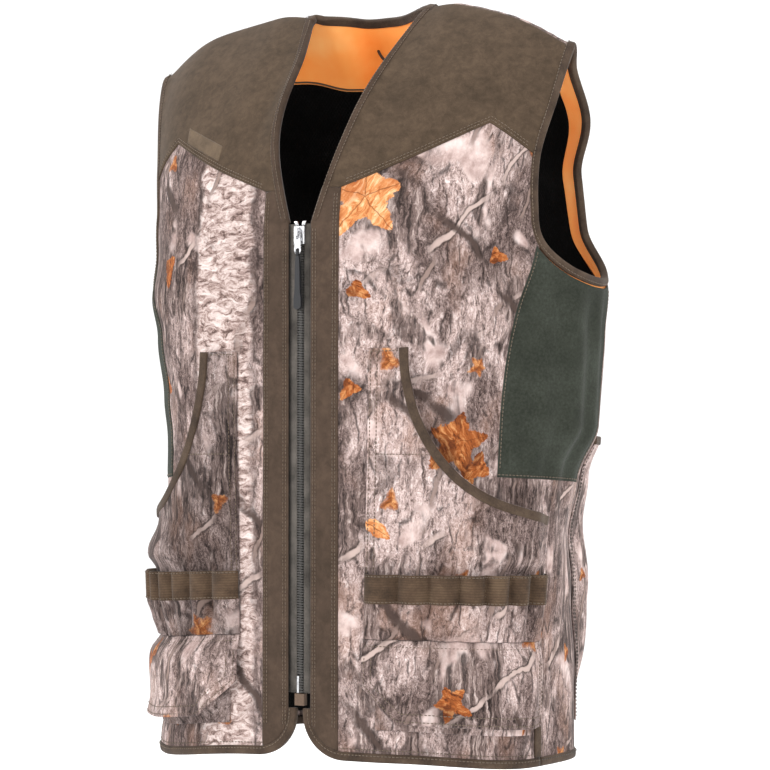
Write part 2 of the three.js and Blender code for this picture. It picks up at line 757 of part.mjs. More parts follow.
function pocketBinding() {
  const rows = mouthCurve.length - 1;
  const start = pocketTop.length - 1 - rows;
  const left = beside(mouthCurve, BINDING_WIDTH + SEAM_GAP);
  const right = beside(mouthCurve, SEAM_GAP);
  return panel({
    blocks: [{
      left: left.map(([b, r]) => [b, r]),
      right,
      bottom: [left[0], right[0]],
      top: [left[rows], right[rows]],
    }],
    base: (u, v) => pocketHeight((start + v * rows) / (pocketTop.length - 1), 1),
    thickness: BINDING_CLOTH,
  });
}

const loopWave = (u) => Math.abs(Math.sin(Math.PI * u * LOOP_COUNT)) ** 0.8;
const LOOP_STEPS = 6;
const bandFoot = BAND_TOP - BAND_HEIGHT;

function cartridgeBand() {
  return panel({
    ...patch(pocketInner(BAND_TOP), POCKET_OUTER, bandFoot, BAND_TOP, LOOP_COUNT * LOOP_STEPS, 1),
    base: (u) => OVER_SHELL + LOOP_BULGE * loopWave(u),
    thickness: CLOTH,
  });
}

function cartridgeTubes() {
  const top = bandFoot - LAYER_GAP;
  return panel({
    ...patch(pocketInner(BAND_TOP), POCKET_OUTER, top - TUBE_HEIGHT, top, LOOP_COUNT * LOOP_STEPS, 1),
    base: (u, v) => OVER_SHELL + LOOP_BULGE * loopWave(u) * mix(0.3, 0.95, v),
    thickness: CLOTH,
  });
}

const flapInner = pocketInner(FLAP_TOP);
const flapOuter = POCKET_OUTER - 0.5;
const flapFoot = FLAP_TOP - FLAP_LENGTH;

// How far the flap stands off at u along it and so many mm below its hinge.
function flapHeight(u, below) {
  const ends = mix(0.5, 1, smooth(Math.min(u, 1 - u) / 0.14));
  return OVER_SHELL + 0.3 + FLAP_STAND_OFF * (1 - Math.exp(-below / 9)) * ends;
}

function pocketFlap() {
  const chamferTop = flapFoot + FLAP_CHAMFER;
  const chamferEnd = flapInner + FLAP_CHAMFER * 1.15 / MM_PER_DEGREE;
  return panel({
    blocks: [{
      left: straight([flapInner, chamferTop], [flapInner, FLAP_TOP], 6),
      right: straight([flapOuter, flapFoot], [flapOuter, FLAP_TOP], 6),
      bottom: joined(
        straight([flapInner, chamferTop], [chamferEnd, flapFoot], 2),
        straight([chamferEnd, flapFoot], [flapOuter, flapFoot], 8),
      ),
      top: straight([flapInner, FLAP_TOP], [flapOuter, FLAP_TOP], 10),
    }],
    base: (u, v) => flapHeight(u, (1 - v) * FLAP_LENGTH * (u < 0.2 ? mix(0.55, 1, u / 0.2) : 1)),
    thickness: CLOTH,
  });
}

function pocketBag() {
  const inset = BAG_INSET / MM_PER_DEGREE;
  const from = flapInner + inset;
  const to = flapOuter - inset;
  const columns = 12;
  const mouth = (u) => FLAP_TOP - 9 - BAG_DIP * (2 * u - 1) ** 2;
  const top = Array.from({ length: columns + 1 }, (_, i) => [mix(from, to, i / columns), mouth(i / columns)]);
  return panel({
    blocks: [{
      left: straight([from, BAG_BOTTOM], top[0], 6),
      right: straight([to, BAG_BOTTOM], top[columns], 6),
      bottom: straight([from, BAG_BOTTOM], [to, BAG_BOTTOM], columns),
      top,
    }],
    base: (u, v) => {
      const ends = smooth(Math.min(u, 1 - u) / 0.2);
      const full = smooth(v / 0.35) * mix(1, 0.55, smooth((v - 0.6) / 0.4));
      return OVER_SHELL + (FLAP_STAND_OFF - CLOTH - 1.6) * ends * full;
    },
    thickness: CLOTH,
  });
}

// ---------------------------------------------------------------- zip
const wasm = await Module();
wasm.setup();

function solidOf(geometry) {
  const plain = geometry.clone();
  plain.deleteAttribute('normal');
  plain.deleteAttribute('uv');
  const merged = mergeVertices(plain.index ? plain.toNonIndexed() : plain, 1e-4);
  return new wasm.Manifold(new wasm.Mesh({
    numProp: 3,
    vertProperties: new Float32Array(merged.getAttribute('position').array),
    triVerts: new Uint32Array(merged.getIndex().array),
  }));
}

function geometryOf(solid) {
  const mesh = solid.getMesh();
  const geometry = new THREE.BufferGeometry();
  geometry.setAttribute('position', new THREE.BufferAttribute(mesh.vertProperties, 3));
  geometry.setIndex(new THREE.BufferAttribute(mesh.triVerts, 1));
  return geometry;
}

const zipY = FRONT_Y + 0.8 + TAPE_THICKNESS / 2;
const tapeFoot = ZIP_BOTTOM;
const boxTop = ZIP_BOTTOM - 0.6;
const pinTop = ZIP_BOTTOM + 16;
const sliderTop = ZIP_TOP - SEAM_GAP;
const sliderFoot = sliderTop - SLIDER_LENGTH;
const sliderFace = zipY - SLIDER_THICKNESS / 2;
const pullY = sliderFace - 2.2;
const pullZ = sliderTop - 5.5;
const gripZ = pullZ - PULL_LENGTH + 0.8;

const zipTape = () => bar(TAPE_INNER, TAPE_OUTER, zipY - TAPE_THICKNESS / 2, zipY + TAPE_THICKNESS / 2,
  tapeFoot, ZIP_TOP + 2);
const zipTeeth = (foot) => bar(TEETH_INNER, TEETH_OUTER, zipY - TEETH_DEPTH / 2, zipY + TEETH_DEPTH / 2,
  foot, ZIP_TOP);
const topStop = () => bar(TEETH_INNER, TEETH_OUTER + 2, zipY - 2.8, zipY - 0.9, ZIP_TOP + SEAM_GAP, ZIP_TOP + 4.5);
const zipPin = () => bar(TEETH_INNER - 0.3, TEETH_OUTER, zipY - TEETH_DEPTH / 2, zipY + TEETH_DEPTH / 2,
  ZIP_BOTTOM, pinTop - SEAM_GAP);
const zipBox = () => bar(-5, 5, zipY - 3, zipY + 3, boxTop - 11, boxTop);

// An outline in the y-z plane pushed out to both sides of the centre.
function sideways(shape, width, curveSegments = 10) {
  const solid = new THREE.ExtrudeGeometry(shape, { depth: width, bevelEnabled: false, curveSegments });
  solid.translate(0, 0, -width / 2);
  solid.applyMatrix4(new THREE.Matrix4().set(0, 0, 1, 0, 1, 0, 0, 0, 0, 1, 0, 0, 0, 0, 0, 1));
  return solid;
}

// Stands a shape extruded along z upright, facing the front, with its back at this y.
function facingForward(backY) {
  return new THREE.Matrix4().set(1, 0, 0, 0, 0, 0, -1, backY, 0, 1, 0, 0, 0, 0, 0, 1);
}

function polygon(points) {
  const corners = points.map(([x, y]) => new THREE.Vector2(x, y));
  return new THREE.Shape(THREE.ShapeUtils.isClockWise(corners) ? corners.reverse() : corners);
}

// Two plates with lips round the teeth, joined by the divider, and the bridge for the pull.
function zipSlider() {
  const half = SLIDER_WIDTH / 2;
  const out = SLIDER_THICKNESS / 2;
  const inside = out - SLIDER_PLATE;
  const [lip, slot] = [half - 1.1, 1.1];
  const quarter = [[half, out], [half, slot], [lip, slot], [lip, inside], [DIVIDER / 2, inside]];
  const flip = (points, sx, sy) => points.map(([x, y]) => [x * sx, y * sy]);
  const section = polygon([
    ...quarter, ...flip(quarter, 1, -1).reverse(), ...flip(quarter, -1, -1), ...flip(quarter, -1, 1).reverse(),
  ]);
  const body = new THREE.ExtrudeGeometry(section, { depth: SLIDER_LENGTH, bevelEnabled: false });
  body.translate(0, zipY, sliderFoot);
  const [near, far] = [sliderFace + 0.5, sliderFace - 5.6];
  const arch = polygon([[near, pullZ - 5.2], [far, pullZ - 4], [far, pullZ + 3], [near, pullZ + 4.2]]);
  const tunnel = polygon([
    [sliderFace - 0.4, pullZ - 3.4], [far + 1.3, pullZ - 3], [far + 1.3, pullZ + 1.8], [sliderFace - 0.4, pullZ + 2.6],
  ]);
  arch.holes.push(tunnel);
  return geometryOf(solidOf(body).add(solidOf(sideways(arch, 2.2))));
}

function zipPull() {
  const half = PULL_WIDTH / 2;
  const shape = polygon([
    [-half + 1.4, pullZ + 0.9], [half - 1.4, pullZ + 0.9], [half - 0.8, pullZ - 8],
    [half, pullZ - PULL_LENGTH + 3], [half - 1.6, pullZ - PULL_LENGTH], [-half + 1.6, pullZ - PULL_LENGTH],
    [-half, pullZ - PULL_LENGTH + 3], [-half + 0.8, pullZ - 8],
  ]);
  const eye = polygon([[-1.6, pullZ - 1], [-1.6, pullZ - 7.4], [1.6, pullZ - 7.4], [1.6, pullZ - 1]]);
  const hole = new THREE.Path().absarc(0, gripZ + 2.7, 1.9, 0, 2 * Math.PI, true);
  shape.holes.push(eye, hole);
  const pull = new THREE.ExtrudeGeometry(shape, { depth: PULL_THICKNESS, bevelEnabled: false, curveSegments: 8 });
  pull.applyMatrix4(facingForward(pullY + PULL_THICKNESS / 2));
  return geometryOf(solidOf(pull));
}

// A loop through the pull's hole, and a moulded grip below it.
function zipGrip() {
  const loop = new THREE.Shape().absarc(0, 0, 3.1, 0, 2 * Math.PI, false);
  loop.holes.push(new THREE.Path().absarc(0, 0, 1.8, 0, 2 * Math.PI, true));
  const ring = sideways(loop, 2, 8);
  ring.translate(0, pullY, gripZ);
  const half = GRIP_WIDTH / 2;
  const top = gripZ - 2.6;
  const foot = top - GRIP_LENGTH;
  const body = polygon([
    [-1.6, top], [-half * 0.6, top - 6], [-half * 0.75, foot + 16], [-half, foot + 10], [-half, foot + 2],
    [-half + 2, foot], [half - 2, foot], [half, foot + 2], [half, foot + 10], [half * 0.75, foot + 16],
    [half * 0.6, top - 6], [1.6, top],
  ]);
  const slab = new THREE.ExtrudeGeometry(body, { depth: GRIP_THICKNESS, bevelEnabled: false });
  slab.applyMatrix4(facingForward(pullY + GRIP_THICKNESS / 2));
  return geometryOf(solidOf(ring).add(solidOf(slab)));
}

// ---------------------------------------------------------------- the assembly
add('back_panel', backPanel(), CAMOUFLAGE);
add('back_lining', backLining(), MESH);
add('neck_facing', neckFacing(), ORANGE);
add('neck_binding', neckBinding(), BINDING);
add('back_hem_binding', backHemBinding(), BINDING);
add('game_pouch', gamePouch(), CAMOUFLAGE);
add('pouch_binding', pouchBinding(), BINDING);
add('hanger_loop', hangerLoop(), BINDING);
add('size_label', sizeLabel(), MESH);
add('yoke_tab', yokeTab(), BINDING, -1);

for (const [side, name] of [[1, 'left'], [-1, 'right']]) {
  add(`side_panel_${name}`, sidePanel(), FLEECE, side);
  add(`shoulder_yoke_${name}`, yoke(), SUEDE, side);
  add(`neck_band_${name}`, neckBand(), SUEDE, side);
  add(`armhole_facing_${name}`, armholeFacing(), ORANGE, side);
  add(`armhole_binding_${name}`, tape(armhole, { near: SEAM_GAP, far: BINDING_WIDTH, ...EDGE, closed: true }),
    BINDING, side);
  add(`front_panel_${name}`, frontPanel(), CAMOUFLAGE, side);
  add(`front_lining_${name}`, frontLining(), MESH, side);
  add(`placket_${name}`, placket(), SUEDE, side);
  add(`front_hem_binding_${name}`, frontHemBinding(), BINDING, side);
  add(`vent_binding_${name}`, ventBinding(), BINDING, side);
  add(`zip_tape_${name}`, zipTape(), TAPE, side);
  add(`zip_teeth_${name}`, zipTeeth(side > 0 ? ZIP_BOTTOM : pinTop), TEETH, side);
  add(`zip_top_stop_${name}`, topStop(), METAL, side);
  add(`hand_pocket_${name}`, handPocket(), CAMOUFLAGE, side);
  add(`pocket_binding_${name}`, pocketBinding(), BINDING, side);
  add(`cartridge_band_${name}`, cartridgeBand(), BINDING, side);
  add(`cartridge_tubes_${name}`, cartridgeTubes(), CAMOUFLAGE, side);
  add(`pocket_bag_${name}`, pocketBag(), CAMOUFLAGE, side);
  add(`pocket_flap_${name}`, pocketFlap(), CAMOUFLAGE, side);
}
add('zip_pin', zipPin(), METAL, -1);
add('zip_box', zipBox(), METAL);
add('zip_slider', zipSlider(), METAL);
add('zip_pull', zipPull(), METAL);
add('zip_grip', zipGrip(), RUBBER);

export default vest;
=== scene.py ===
# Looks of the hunting vest: cloth, stitching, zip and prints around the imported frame.
import json
import math

import bmesh
import bpy
import numpy as np
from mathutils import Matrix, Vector
from mathutils.geometry import delaunay_2d_cdt


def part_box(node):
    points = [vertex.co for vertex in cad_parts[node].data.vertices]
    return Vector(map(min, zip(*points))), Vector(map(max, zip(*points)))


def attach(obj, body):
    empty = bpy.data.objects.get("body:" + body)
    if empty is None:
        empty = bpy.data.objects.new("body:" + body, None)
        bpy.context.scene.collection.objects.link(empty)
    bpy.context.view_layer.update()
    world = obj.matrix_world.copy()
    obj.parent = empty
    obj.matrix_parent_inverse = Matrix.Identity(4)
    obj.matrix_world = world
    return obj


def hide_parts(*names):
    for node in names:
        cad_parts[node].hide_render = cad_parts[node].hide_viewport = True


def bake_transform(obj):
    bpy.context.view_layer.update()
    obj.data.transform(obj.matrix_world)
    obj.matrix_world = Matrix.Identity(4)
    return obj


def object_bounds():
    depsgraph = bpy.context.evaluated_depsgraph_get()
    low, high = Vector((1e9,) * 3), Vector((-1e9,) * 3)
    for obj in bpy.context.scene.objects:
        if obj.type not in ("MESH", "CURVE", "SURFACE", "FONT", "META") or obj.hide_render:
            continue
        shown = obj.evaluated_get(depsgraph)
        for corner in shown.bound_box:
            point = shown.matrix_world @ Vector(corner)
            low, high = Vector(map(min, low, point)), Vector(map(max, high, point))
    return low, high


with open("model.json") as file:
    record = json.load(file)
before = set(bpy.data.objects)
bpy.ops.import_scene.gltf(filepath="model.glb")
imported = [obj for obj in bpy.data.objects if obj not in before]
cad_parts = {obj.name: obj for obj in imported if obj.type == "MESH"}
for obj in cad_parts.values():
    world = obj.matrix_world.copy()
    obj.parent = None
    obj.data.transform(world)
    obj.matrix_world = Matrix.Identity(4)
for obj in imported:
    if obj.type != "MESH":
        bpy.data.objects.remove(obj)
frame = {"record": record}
CAD_BOX = [list(corner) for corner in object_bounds()]

# ---------------------------------------------------------------- the torso surface, as in the CAD
# Millimetres: a bearing in degrees round the body (0 front, 90 the wearer's left side,
# negative on the wearer's right) and a rise above the hem.
NECK_HEIGHT, NECK_HALF_WIDTH, SHOULDER_FALL = 722.0, 71.0, 0.36
RIDGE_RADIUS, SHOULDER_LEAN, RIDGE_DEPTH, NAPE_RISE = 12.0, 135.0, 5.0, 50.0
SHOULDER_FULLNESS, SHOULDER_SPAN = 9.0, 130.0
FRONT_Y, HEM_HALF_WIDTH, CHEST_HALF_WIDTH = -130.0, 207.0, 226.0
HEM_HALF_DEPTH, CHEST_HALF_DEPTH, CHEST_RISE, SQUARENESS = 116.0, 130.0, 420.0, 0.12
ZIP_TOP, ZIP_BOTTOM = 497.0, 60.0
CENTRE_EDGE, PLACKET_OUTER = 11.5, 40.0    # the placket runs between these distances from the middle
YOKE_INNER_RISE, YOKE_PEAK_X, YOKE_PEAK_RISE = 532, 166, 590
MM_PER_DEGREE = 3.75
SHELL, OVERLAY = 1.3, 1.0          # top of the shell cloth, and foot of what is lapped over it
LIN = 0.001


def mix(a, b, k):
    return a + (b - a) * k


def smooth(k):
    k = np.clip(k, 0.0, 1.0)
    return k * k * (3 - 2 * k)


def half_width(r):
    return mix(HEM_HALF_WIDTH, CHEST_HALF_WIDTH, smooth(r / CHEST_RISE))


def half_depth(r):
    return mix(HEM_HALF_DEPTH, CHEST_HALF_DEPTH, smooth(r / CHEST_RISE))


def ridge_height(x):
    out = np.abs(x) - NECK_HALF_WIDTH
    inward = np.clip(1 - (x / NECK_HALF_WIDTH) ** 2, 0, None)
    along = np.clip(out / SHOULDER_SPAN, 0, 1)
    slope = NECK_HEIGHT - SHOULDER_FALL * out + SHOULDER_FULLNESS * np.sin(np.pi * along)
    return np.where(out >= 0, slope, NECK_HEIGHT + NAPE_RISE * inward ** 2)


def middle_depth(z):
    middle = NECK_HEIGHT + NAPE_RISE + RIDGE_RADIUS

    def at_front(h):
        return FRONT_Y + half_depth(h) * np.tanh((middle - h) / SHOULDER_LEAN)

    over = mix(at_front(ZIP_TOP), RIDGE_DEPTH, smooth((z - ZIP_TOP) / (NECK_HEIGHT - ZIP_TOP)))
    return np.where(z <= ZIP_TOP, at_front(z), over)


def surface(b, r):
    a = np.radians(b)
    s, c = np.sin(a), np.cos(a)
    x = half_width(r) * s * (1 + SQUARENESS * c * c)
    from_ridge = ridge_height(x) + RIDGE_RADIUS - r
    z = ridge_height(x) + RIDGE_RADIUS - np.hypot(from_ridge, RIDGE_RADIUS)
    y = middle_depth(z) - half_depth(r) * c * (1 + SQUARENESS * s * s) * np.tanh(from_ridge / SHOULDER_LEAN)
    return np.stack([x, y, z], -1)


def normals(b, r):
    step = 0.05
    along = surface(b + step, r) - surface(b - step, r)
    up = surface(b, r + step) - surface(b, r - step)
    n = np.cross(along, up)
    return n / np.linalg.norm(n, axis=-1, keepdims=True)


def reach_across(a, r):
    return half_width(r) * math.sin(a) * (1 + SQUARENESS * math.cos(a) ** 2)


def bearing_at_x(x, r):
    low, high = 0.0, 90.0
    for _ in range(40):
        middle = (low + high) / 2
        if reach_across(math.radians(middle), r) < x:
            low = middle
        else:
            high = middle
    return low


def ridge_rise(b):
    r = NECK_HEIGHT
    for _ in range(8):
        r = float(ridge_height(reach_across(math.radians(b), r))) + RIDGE_RADIUS
    return r


# ---------------------------------------------------------------- folds in the cloth
def lattice_noise(p, seed):
    """Smooth noise from -1 to 1 at points p, whose cells are one unit wide."""
    table = np.random.default_rng(seed).random((24, 24, 24)) * 2 - 1
    cell = np.floor(p).astype(int)
    f = smooth(p - cell)
    total = np.zeros(len(p))
    for corner in range(8):
        o = np.array([corner & 1, corner >> 1 & 1, corner >> 2 & 1])
        weight = np.prod(np.where(o, f, 1 - f), axis=1)
        i = (cell + o) % 24
        total += weight * table[i[:, 0], i[:, 1], i[:, 2]]
    return total


def drape(b, r):
    """How far the cloth lies off the smooth surface: the same for every layer, in mm."""
    p = surface(b, np.minimum(r, 700.0))
    broad = lattice_noise(p / np.array([95.0, 95.0, 150.0]), 3)
    small = lattice_noise(p / np.array([38.0, 38.0, 60.0]) + 7, 5)
    calm = np.where(np.abs(p[:, 0]) < 60, smooth((np.abs(p[:, 0]) - 12) / 48), 1.0)
    calm = np.where(p[:, 1] > 0, 1.0, calm)
    top = 1 - 0.6 * smooth((r - 560) / 120)
    lift = (2.0 * broad + 0.8 * small) * calm * top
    side = np.exp(-((np.abs((b + 180) % 360 - 180) - 82) / 17) ** 2)
    column = np.sin(np.radians(np.abs((b + 180) % 360 - 180)) * 27 + r / 120)
    lift += 2.6 * side * column * smooth((r - 200) / 80) * (1 - smooth((r - 400) / 60))
    return lift


def between(v, start, full, ebb, end):
    """Rises from 0 to 1 between start and full, and falls back to 0 between ebb and end."""
    return smooth((v - start) / (full - start)) * (1 - smooth((v - ebb) / (end - ebb)))


def through(v, knots):
    """A smooth rise and fall through (value, height) knots."""
    out = np.full(np.shape(v), float(knots[0][1]))
    for (v0, h0), (v1, h1) in zip(knots, knots[1:]):
        out = out + (h1 - h0) * smooth((v - v0) / (v1 - v0))
    return out


# How far each side leans towards the wearer's left, in mm, by its rise above the hem.
LEFT_LEAN = ((20, 11), (80, 10), (150, 3), (210, -4), (260, 2), (310, 16), (400, 18), (440, 21), (500, 5),
             (555, 6), (605, 15), (665, 0))
RIGHT_LEAN = ((10, 2), (60, 11), (110, 7), (150, 3), (185, 3), (225, 17), (300, 21), (340, 17), (400, 9),
              (440, 1), (480, 7), (520, 5), (570, 0))


def settle(p, b, r):
    """How the worn vest leans off the even surface, in mm: every layer moves alike."""
    turn = (b + 180) % 360 - 180
    # Below the side panel the seam stays on the line that the front swings about.
    above = smooth((r - 250) / 60)
    wide = mix(between(turn, 78, 108, 140, 172), between(turn, 52, 84, 138, 172), above)
    left = wide * through(r, LEFT_LEAN)
    right = between(-turn, 22, 58, 95, 150) * through(r, RIGHT_LEAN)
    # These are the same on both sides of the shoulder seam.
    high = smooth((r - 550) / 130)
    neck = between(-p[:, 0], 15, 62, 92, 170) * high
    slope = between(-p[:, 0], 62, 112, 150, 208) * high
    slope_left = between(p[:, 0], 72, 105, 150, 208) * high
    tip = smooth((-p[:, 0] - 110) / 80) * high
    tip_left = smooth((p[:, 0] - 120) / 80) * high
    out = left + right + 19.0 * neck - 20.0 * tip + 12.0 * tip_left
    drop = between(-turn, 8, 55, 110, 160) * mix(13.0, 0.0, smooth(r / 330))
    drop = drop + between(turn, 25, 70, 110, 160) * mix(6.0, 0.0, smooth(r / 200))
    return np.stack([out, 0.45 * left, 11.0 * slope + 5.0 * slope_left + 4.0 * tip - drop], -1)


def point(b, r, w=0.0):
    """Row-frame metres of points this far outside the surface."""
    b, r = np.atleast_1d(np.asarray(b, float)), np.atleast_1d(np.asarray(r, float))
    w = np.broadcast_to(np.asarray(w, float), b.shape)
    off = w + drape(b, r)
    even = surface(b, r)
    p = even + normals(b, r) * off[:, None] + settle(even, b, r)
    return (p - np.array([0.0, RIDGE_DEPTH, NECK_HEIGHT])) * LIN


# ---------------------------------------------------------------- outlines: lists of (bearing, rise)
def straight(start, end, steps=None):
    if steps is None:
        length = math.hypot((end[0] - start[0]) * MM_PER_DEGREE, end[1] - start[1])
        steps = max(1, round(length / 4))
    return [(mix(start[0], end[0], i / steps), mix(start[1], end[1], i / steps)) for i in range(steps + 1)]


def curved(knots, step=4.0):
    """A smooth centripetal curve through the knots."""
    pts = [np.array([b * MM_PER_DEGREE, r]) for b, r in knots]
    pts = [2 * pts[0] - pts[1], *pts, 2 * pts[-1] - pts[-2]]
    out = []
    for p0, p1, p2, p3 in zip(pts, pts[1:], pts[2:], pts[3:]):
        t0 = 0.0
        t1 = t0 + np.linalg.norm(p1 - p0) ** 0.5
        t2 = t1 + np.linalg.norm(p2 - p1) ** 0.5
        t3 = t2 + np.linalg.norm(p3 - p2) ** 0.5
        count = max(1, round(np.linalg.norm(p2 - p1) / step))
        for t in np.linspace(t1, t2, count, endpoint=False):
            a1 = (t1 - t) / (t1 - t0) * p0 + (t - t0) / (t1 - t0) * p1
            a2 = (t2 - t) / (t2 - t1) * p1 + (t - t1) / (t2 - t1) * p2
            a3 = (t3 - t) / (t3 - t2) * p2 + (t - t2) / (t3 - t2) * p3
            b1 = (t2 - t) / (t2 - t0) * a1 + (t - t0) / (t2 - t0) * a2
            b2 = (t3 - t) / (t3 - t1) * a2 + (t - t1) / (t3 - t1) * a3
            out.append((t2 - t) / (t2 - t1) * b1 + (t - t1) / (t2 - t1) * b2)
    out.append(pts[-2])
    return [(p[0] / MM_PER_DEGREE, p[1]) for p in out]


def at_x(x, low, high, steps=None):
    steps = steps or max(1, round(abs(high - low) / 5))
    return [(bearing_at_x(x, mix(low, high, i / steps)), mix(low, high, i / steps)) for i in range(steps + 1)]


def joined(*outlines):
    out = []
    for line in outlines:
        out += line[1:] if out and math.dist(out[-1], line[0]) < 0.3 else line
    return out


def polygon(*corners):
    """Straight sides from corner to corner."""
    return joined(*(straight(a, b) for a, b in zip(corners, corners[1:])))


def box_outline(b0, b1, r0, r1):
    return polygon((b0, r0), (b1, r0), (b1, r1), (b0, r1), (b0, r0))


def mirrored(line):
    return [(360 - b, r) for b, r in line]


def moved(line, b, r):
    return [(x + b, y + r) for x, y in line]


def beside(line, distance):
    """The line this far, in mm, to the left of its direction of travel."""
    out = []
    for i, (b, r) in enumerate(line):
        b0, r0 = line[max(0, i - 1)]
        b1, r1 = line[min(len(line) - 1, i + 1)]
        along = Vector(((b1 - b0) * MM_PER_DEGREE, r1 - r0)).normalized()
        out.append((b - along.y * distance / MM_PER_DEGREE, r + along.x * distance))
    return out


SEAM_FORWARD = 14.0
TIP = 62.0
ARMHOLE_KNOTS = [
    (TIP, ridge_rise(TIP) - SEAM_FORWARD), (60.6, 625), (60, 563), (61, 515), (63.5, 478), (73, 450),
    (87, 441), (100, 447), (113, 482), (121.5, 545), (122.5, 612), (120.6, 656),
    (118.6, ridge_rise(118) - 10), (118, ridge_rise(TIP) + SEAM_FORWARD),
]
ARMHOLE = curved(ARMHOLE_KNOTS)


def part_of(line, knots, first, last):
    """The stretch of a curve between two of its knots."""
    def nearest(knot):
        return min(range(len(line)), key=lambda i: math.hypot(
            (line[i][0] - knot[0]) * MM_PER_DEGREE, line[i][1] - knot[1]))
    i, j = nearest(knots[first]), nearest(knots[last])
    return line[i:j + 1]


ARM_YOKE = part_of(ARMHOLE, ARMHOLE_KNOTS, 0, 2)
ARM_FRONT = part_of(ARMHOLE, ARMHOLE_KNOTS, 2, 4)
ARM_SIDE = part_of(ARMHOLE, ARMHOLE_KNOTS, 4, 7)
ARM_BACK = part_of(ARMHOLE, ARMHOLE_KNOTS, 7, 13)


def neck_outline(outward):
    rises, widths = [500, 532, 578, 622, 664], [CENTRE_EDGE, 21, 34, 45, 56]
    knots = [(bearing_at_x(w + outward, r), r) for w, r in zip(widths, rises)]
    side = bearing_at_x(NECK_HALF_WIDTH + outward, NECK_HEIGHT)
    return curved([*knots, (side, ridge_rise(side) - SEAM_FORWARD)])


NECK_EDGE = neck_outline(0)
NECK_SEAM = neck_outline(8.3)
NECK_SIDE = NECK_SEAM[-1][0]
NAPE_HALF = curved([
    (180 - NECK_SIDE, ridge_rise(NECK_SIDE) + SEAM_FORWARD), (180 - NECK_SIDE, ridge_rise(NECK_SIDE)),
    (166, 724), (173, 722), (180, 723),
])
NAPE = joined(NAPE_HALF, mirrored(NAPE_HALF)[::-1])
YOKE_PEAK = (bearing_at_x(YOKE_PEAK_X, YOKE_PEAK_RISE), YOKE_PEAK_RISE)
YOKE_INNER = (bearing_at_x(PLACKET_OUTER, YOKE_INNER_RISE), YOKE_INNER_RISE)
YOKE_EDGE = joined(straight(YOKE_INNER, YOKE_PEAK), straight(YOKE_PEAK, ARM_YOKE[-1]))
SIDE_SEAM, SIDE_FRONT, SIDE_BACK, SIDE_FOOT = 77.0, 52.0, 100.0, 262.0
FRONT_SEAM = curved([(SIDE_FRONT, SIDE_FOOT), (52.5, 340), (56, 410), (63.5, 478)])
BACK_SEAM = straight((SIDE_BACK, SIDE_FOOT - 6), ARM_SIDE[-1])
STEP = (SIDE_SEAM, 259.0)
CORNER_RADIUS, BINDING_WIDTH = 42.0, 8.0


def corner_curve(radius, first, last, steps=14):
    """The rounded lower corner of a front, from the centre edge to the hem."""
    centre = CENTRE_EDGE - BINDING_WIDTH + CORNER_RADIUS
    out = []
    for i in range(steps + 1):
        turn = mix(first, last, i / steps)
        r = CORNER_RADIUS - radius * math.sin(turn)
        out.append((bearing_at_x(centre + radius * math.cos(turn), r), r))
    return out


# ---------------------------------------------------------------- meshes
def new_object(name, verts, faces, uv=None, smooth_shading=True):
    mesh = bpy.data.meshes.new(name)
    mesh.from_pydata([tuple(v) for v in verts], [], faces)
    if uv is not None:
        layer = mesh.uv_layers.new(name="cloth")
        loops = np.empty(len(mesh.loops), int)
        mesh.loops.foreach_get("vertex_index", loops)
        layer.data.foreach_set("uv", np.asarray(uv, float)[loops].ravel())
    mesh.polygons.foreach_set("use_smooth", [smooth_shading] * len(mesh.polygons))
    mesh.update()
    obj = bpy.data.objects.new(name, mesh)
    bpy.context.scene.collection.objects.link(obj)
    return obj


def distance_to(line, pts, closed=True):
    """Distance in mm of flat points from a closed or open line of flat points."""
    a = np.asarray(line, float)
    b = np.roll(a, -1, axis=0) if closed else a[1:]
    a = a if closed else a[:-1]
    out = np.full(len(pts), 1e9)
    d = b - a
    length = np.maximum((d ** 2).sum(1), 1e-12)
    for s, t, n in zip(a, d, length):
        k = np.clip(((pts - s) @ t) / n, 0, 1)
        out = np.minimum(out, np.hypot(*(pts - s - k[:, None] * t).T))
    return out


def inside(line, pts):
    a = np.asarray(line, float)
    b = np.roll(a, -1, axis=0)
    odd = np.zeros(len(pts), bool)
    for (x0, y0), (x1, y1) in zip(a, b):
        if y0 == y1:
            continue
        crosses = (y0 > pts[:, 1]) != (y1 > pts[:, 1])
        odd ^= crosses & (pts[:, 0] < x0 + (pts[:, 1] - y0) * (x1 - x0) / (y1 - y0))
    return odd


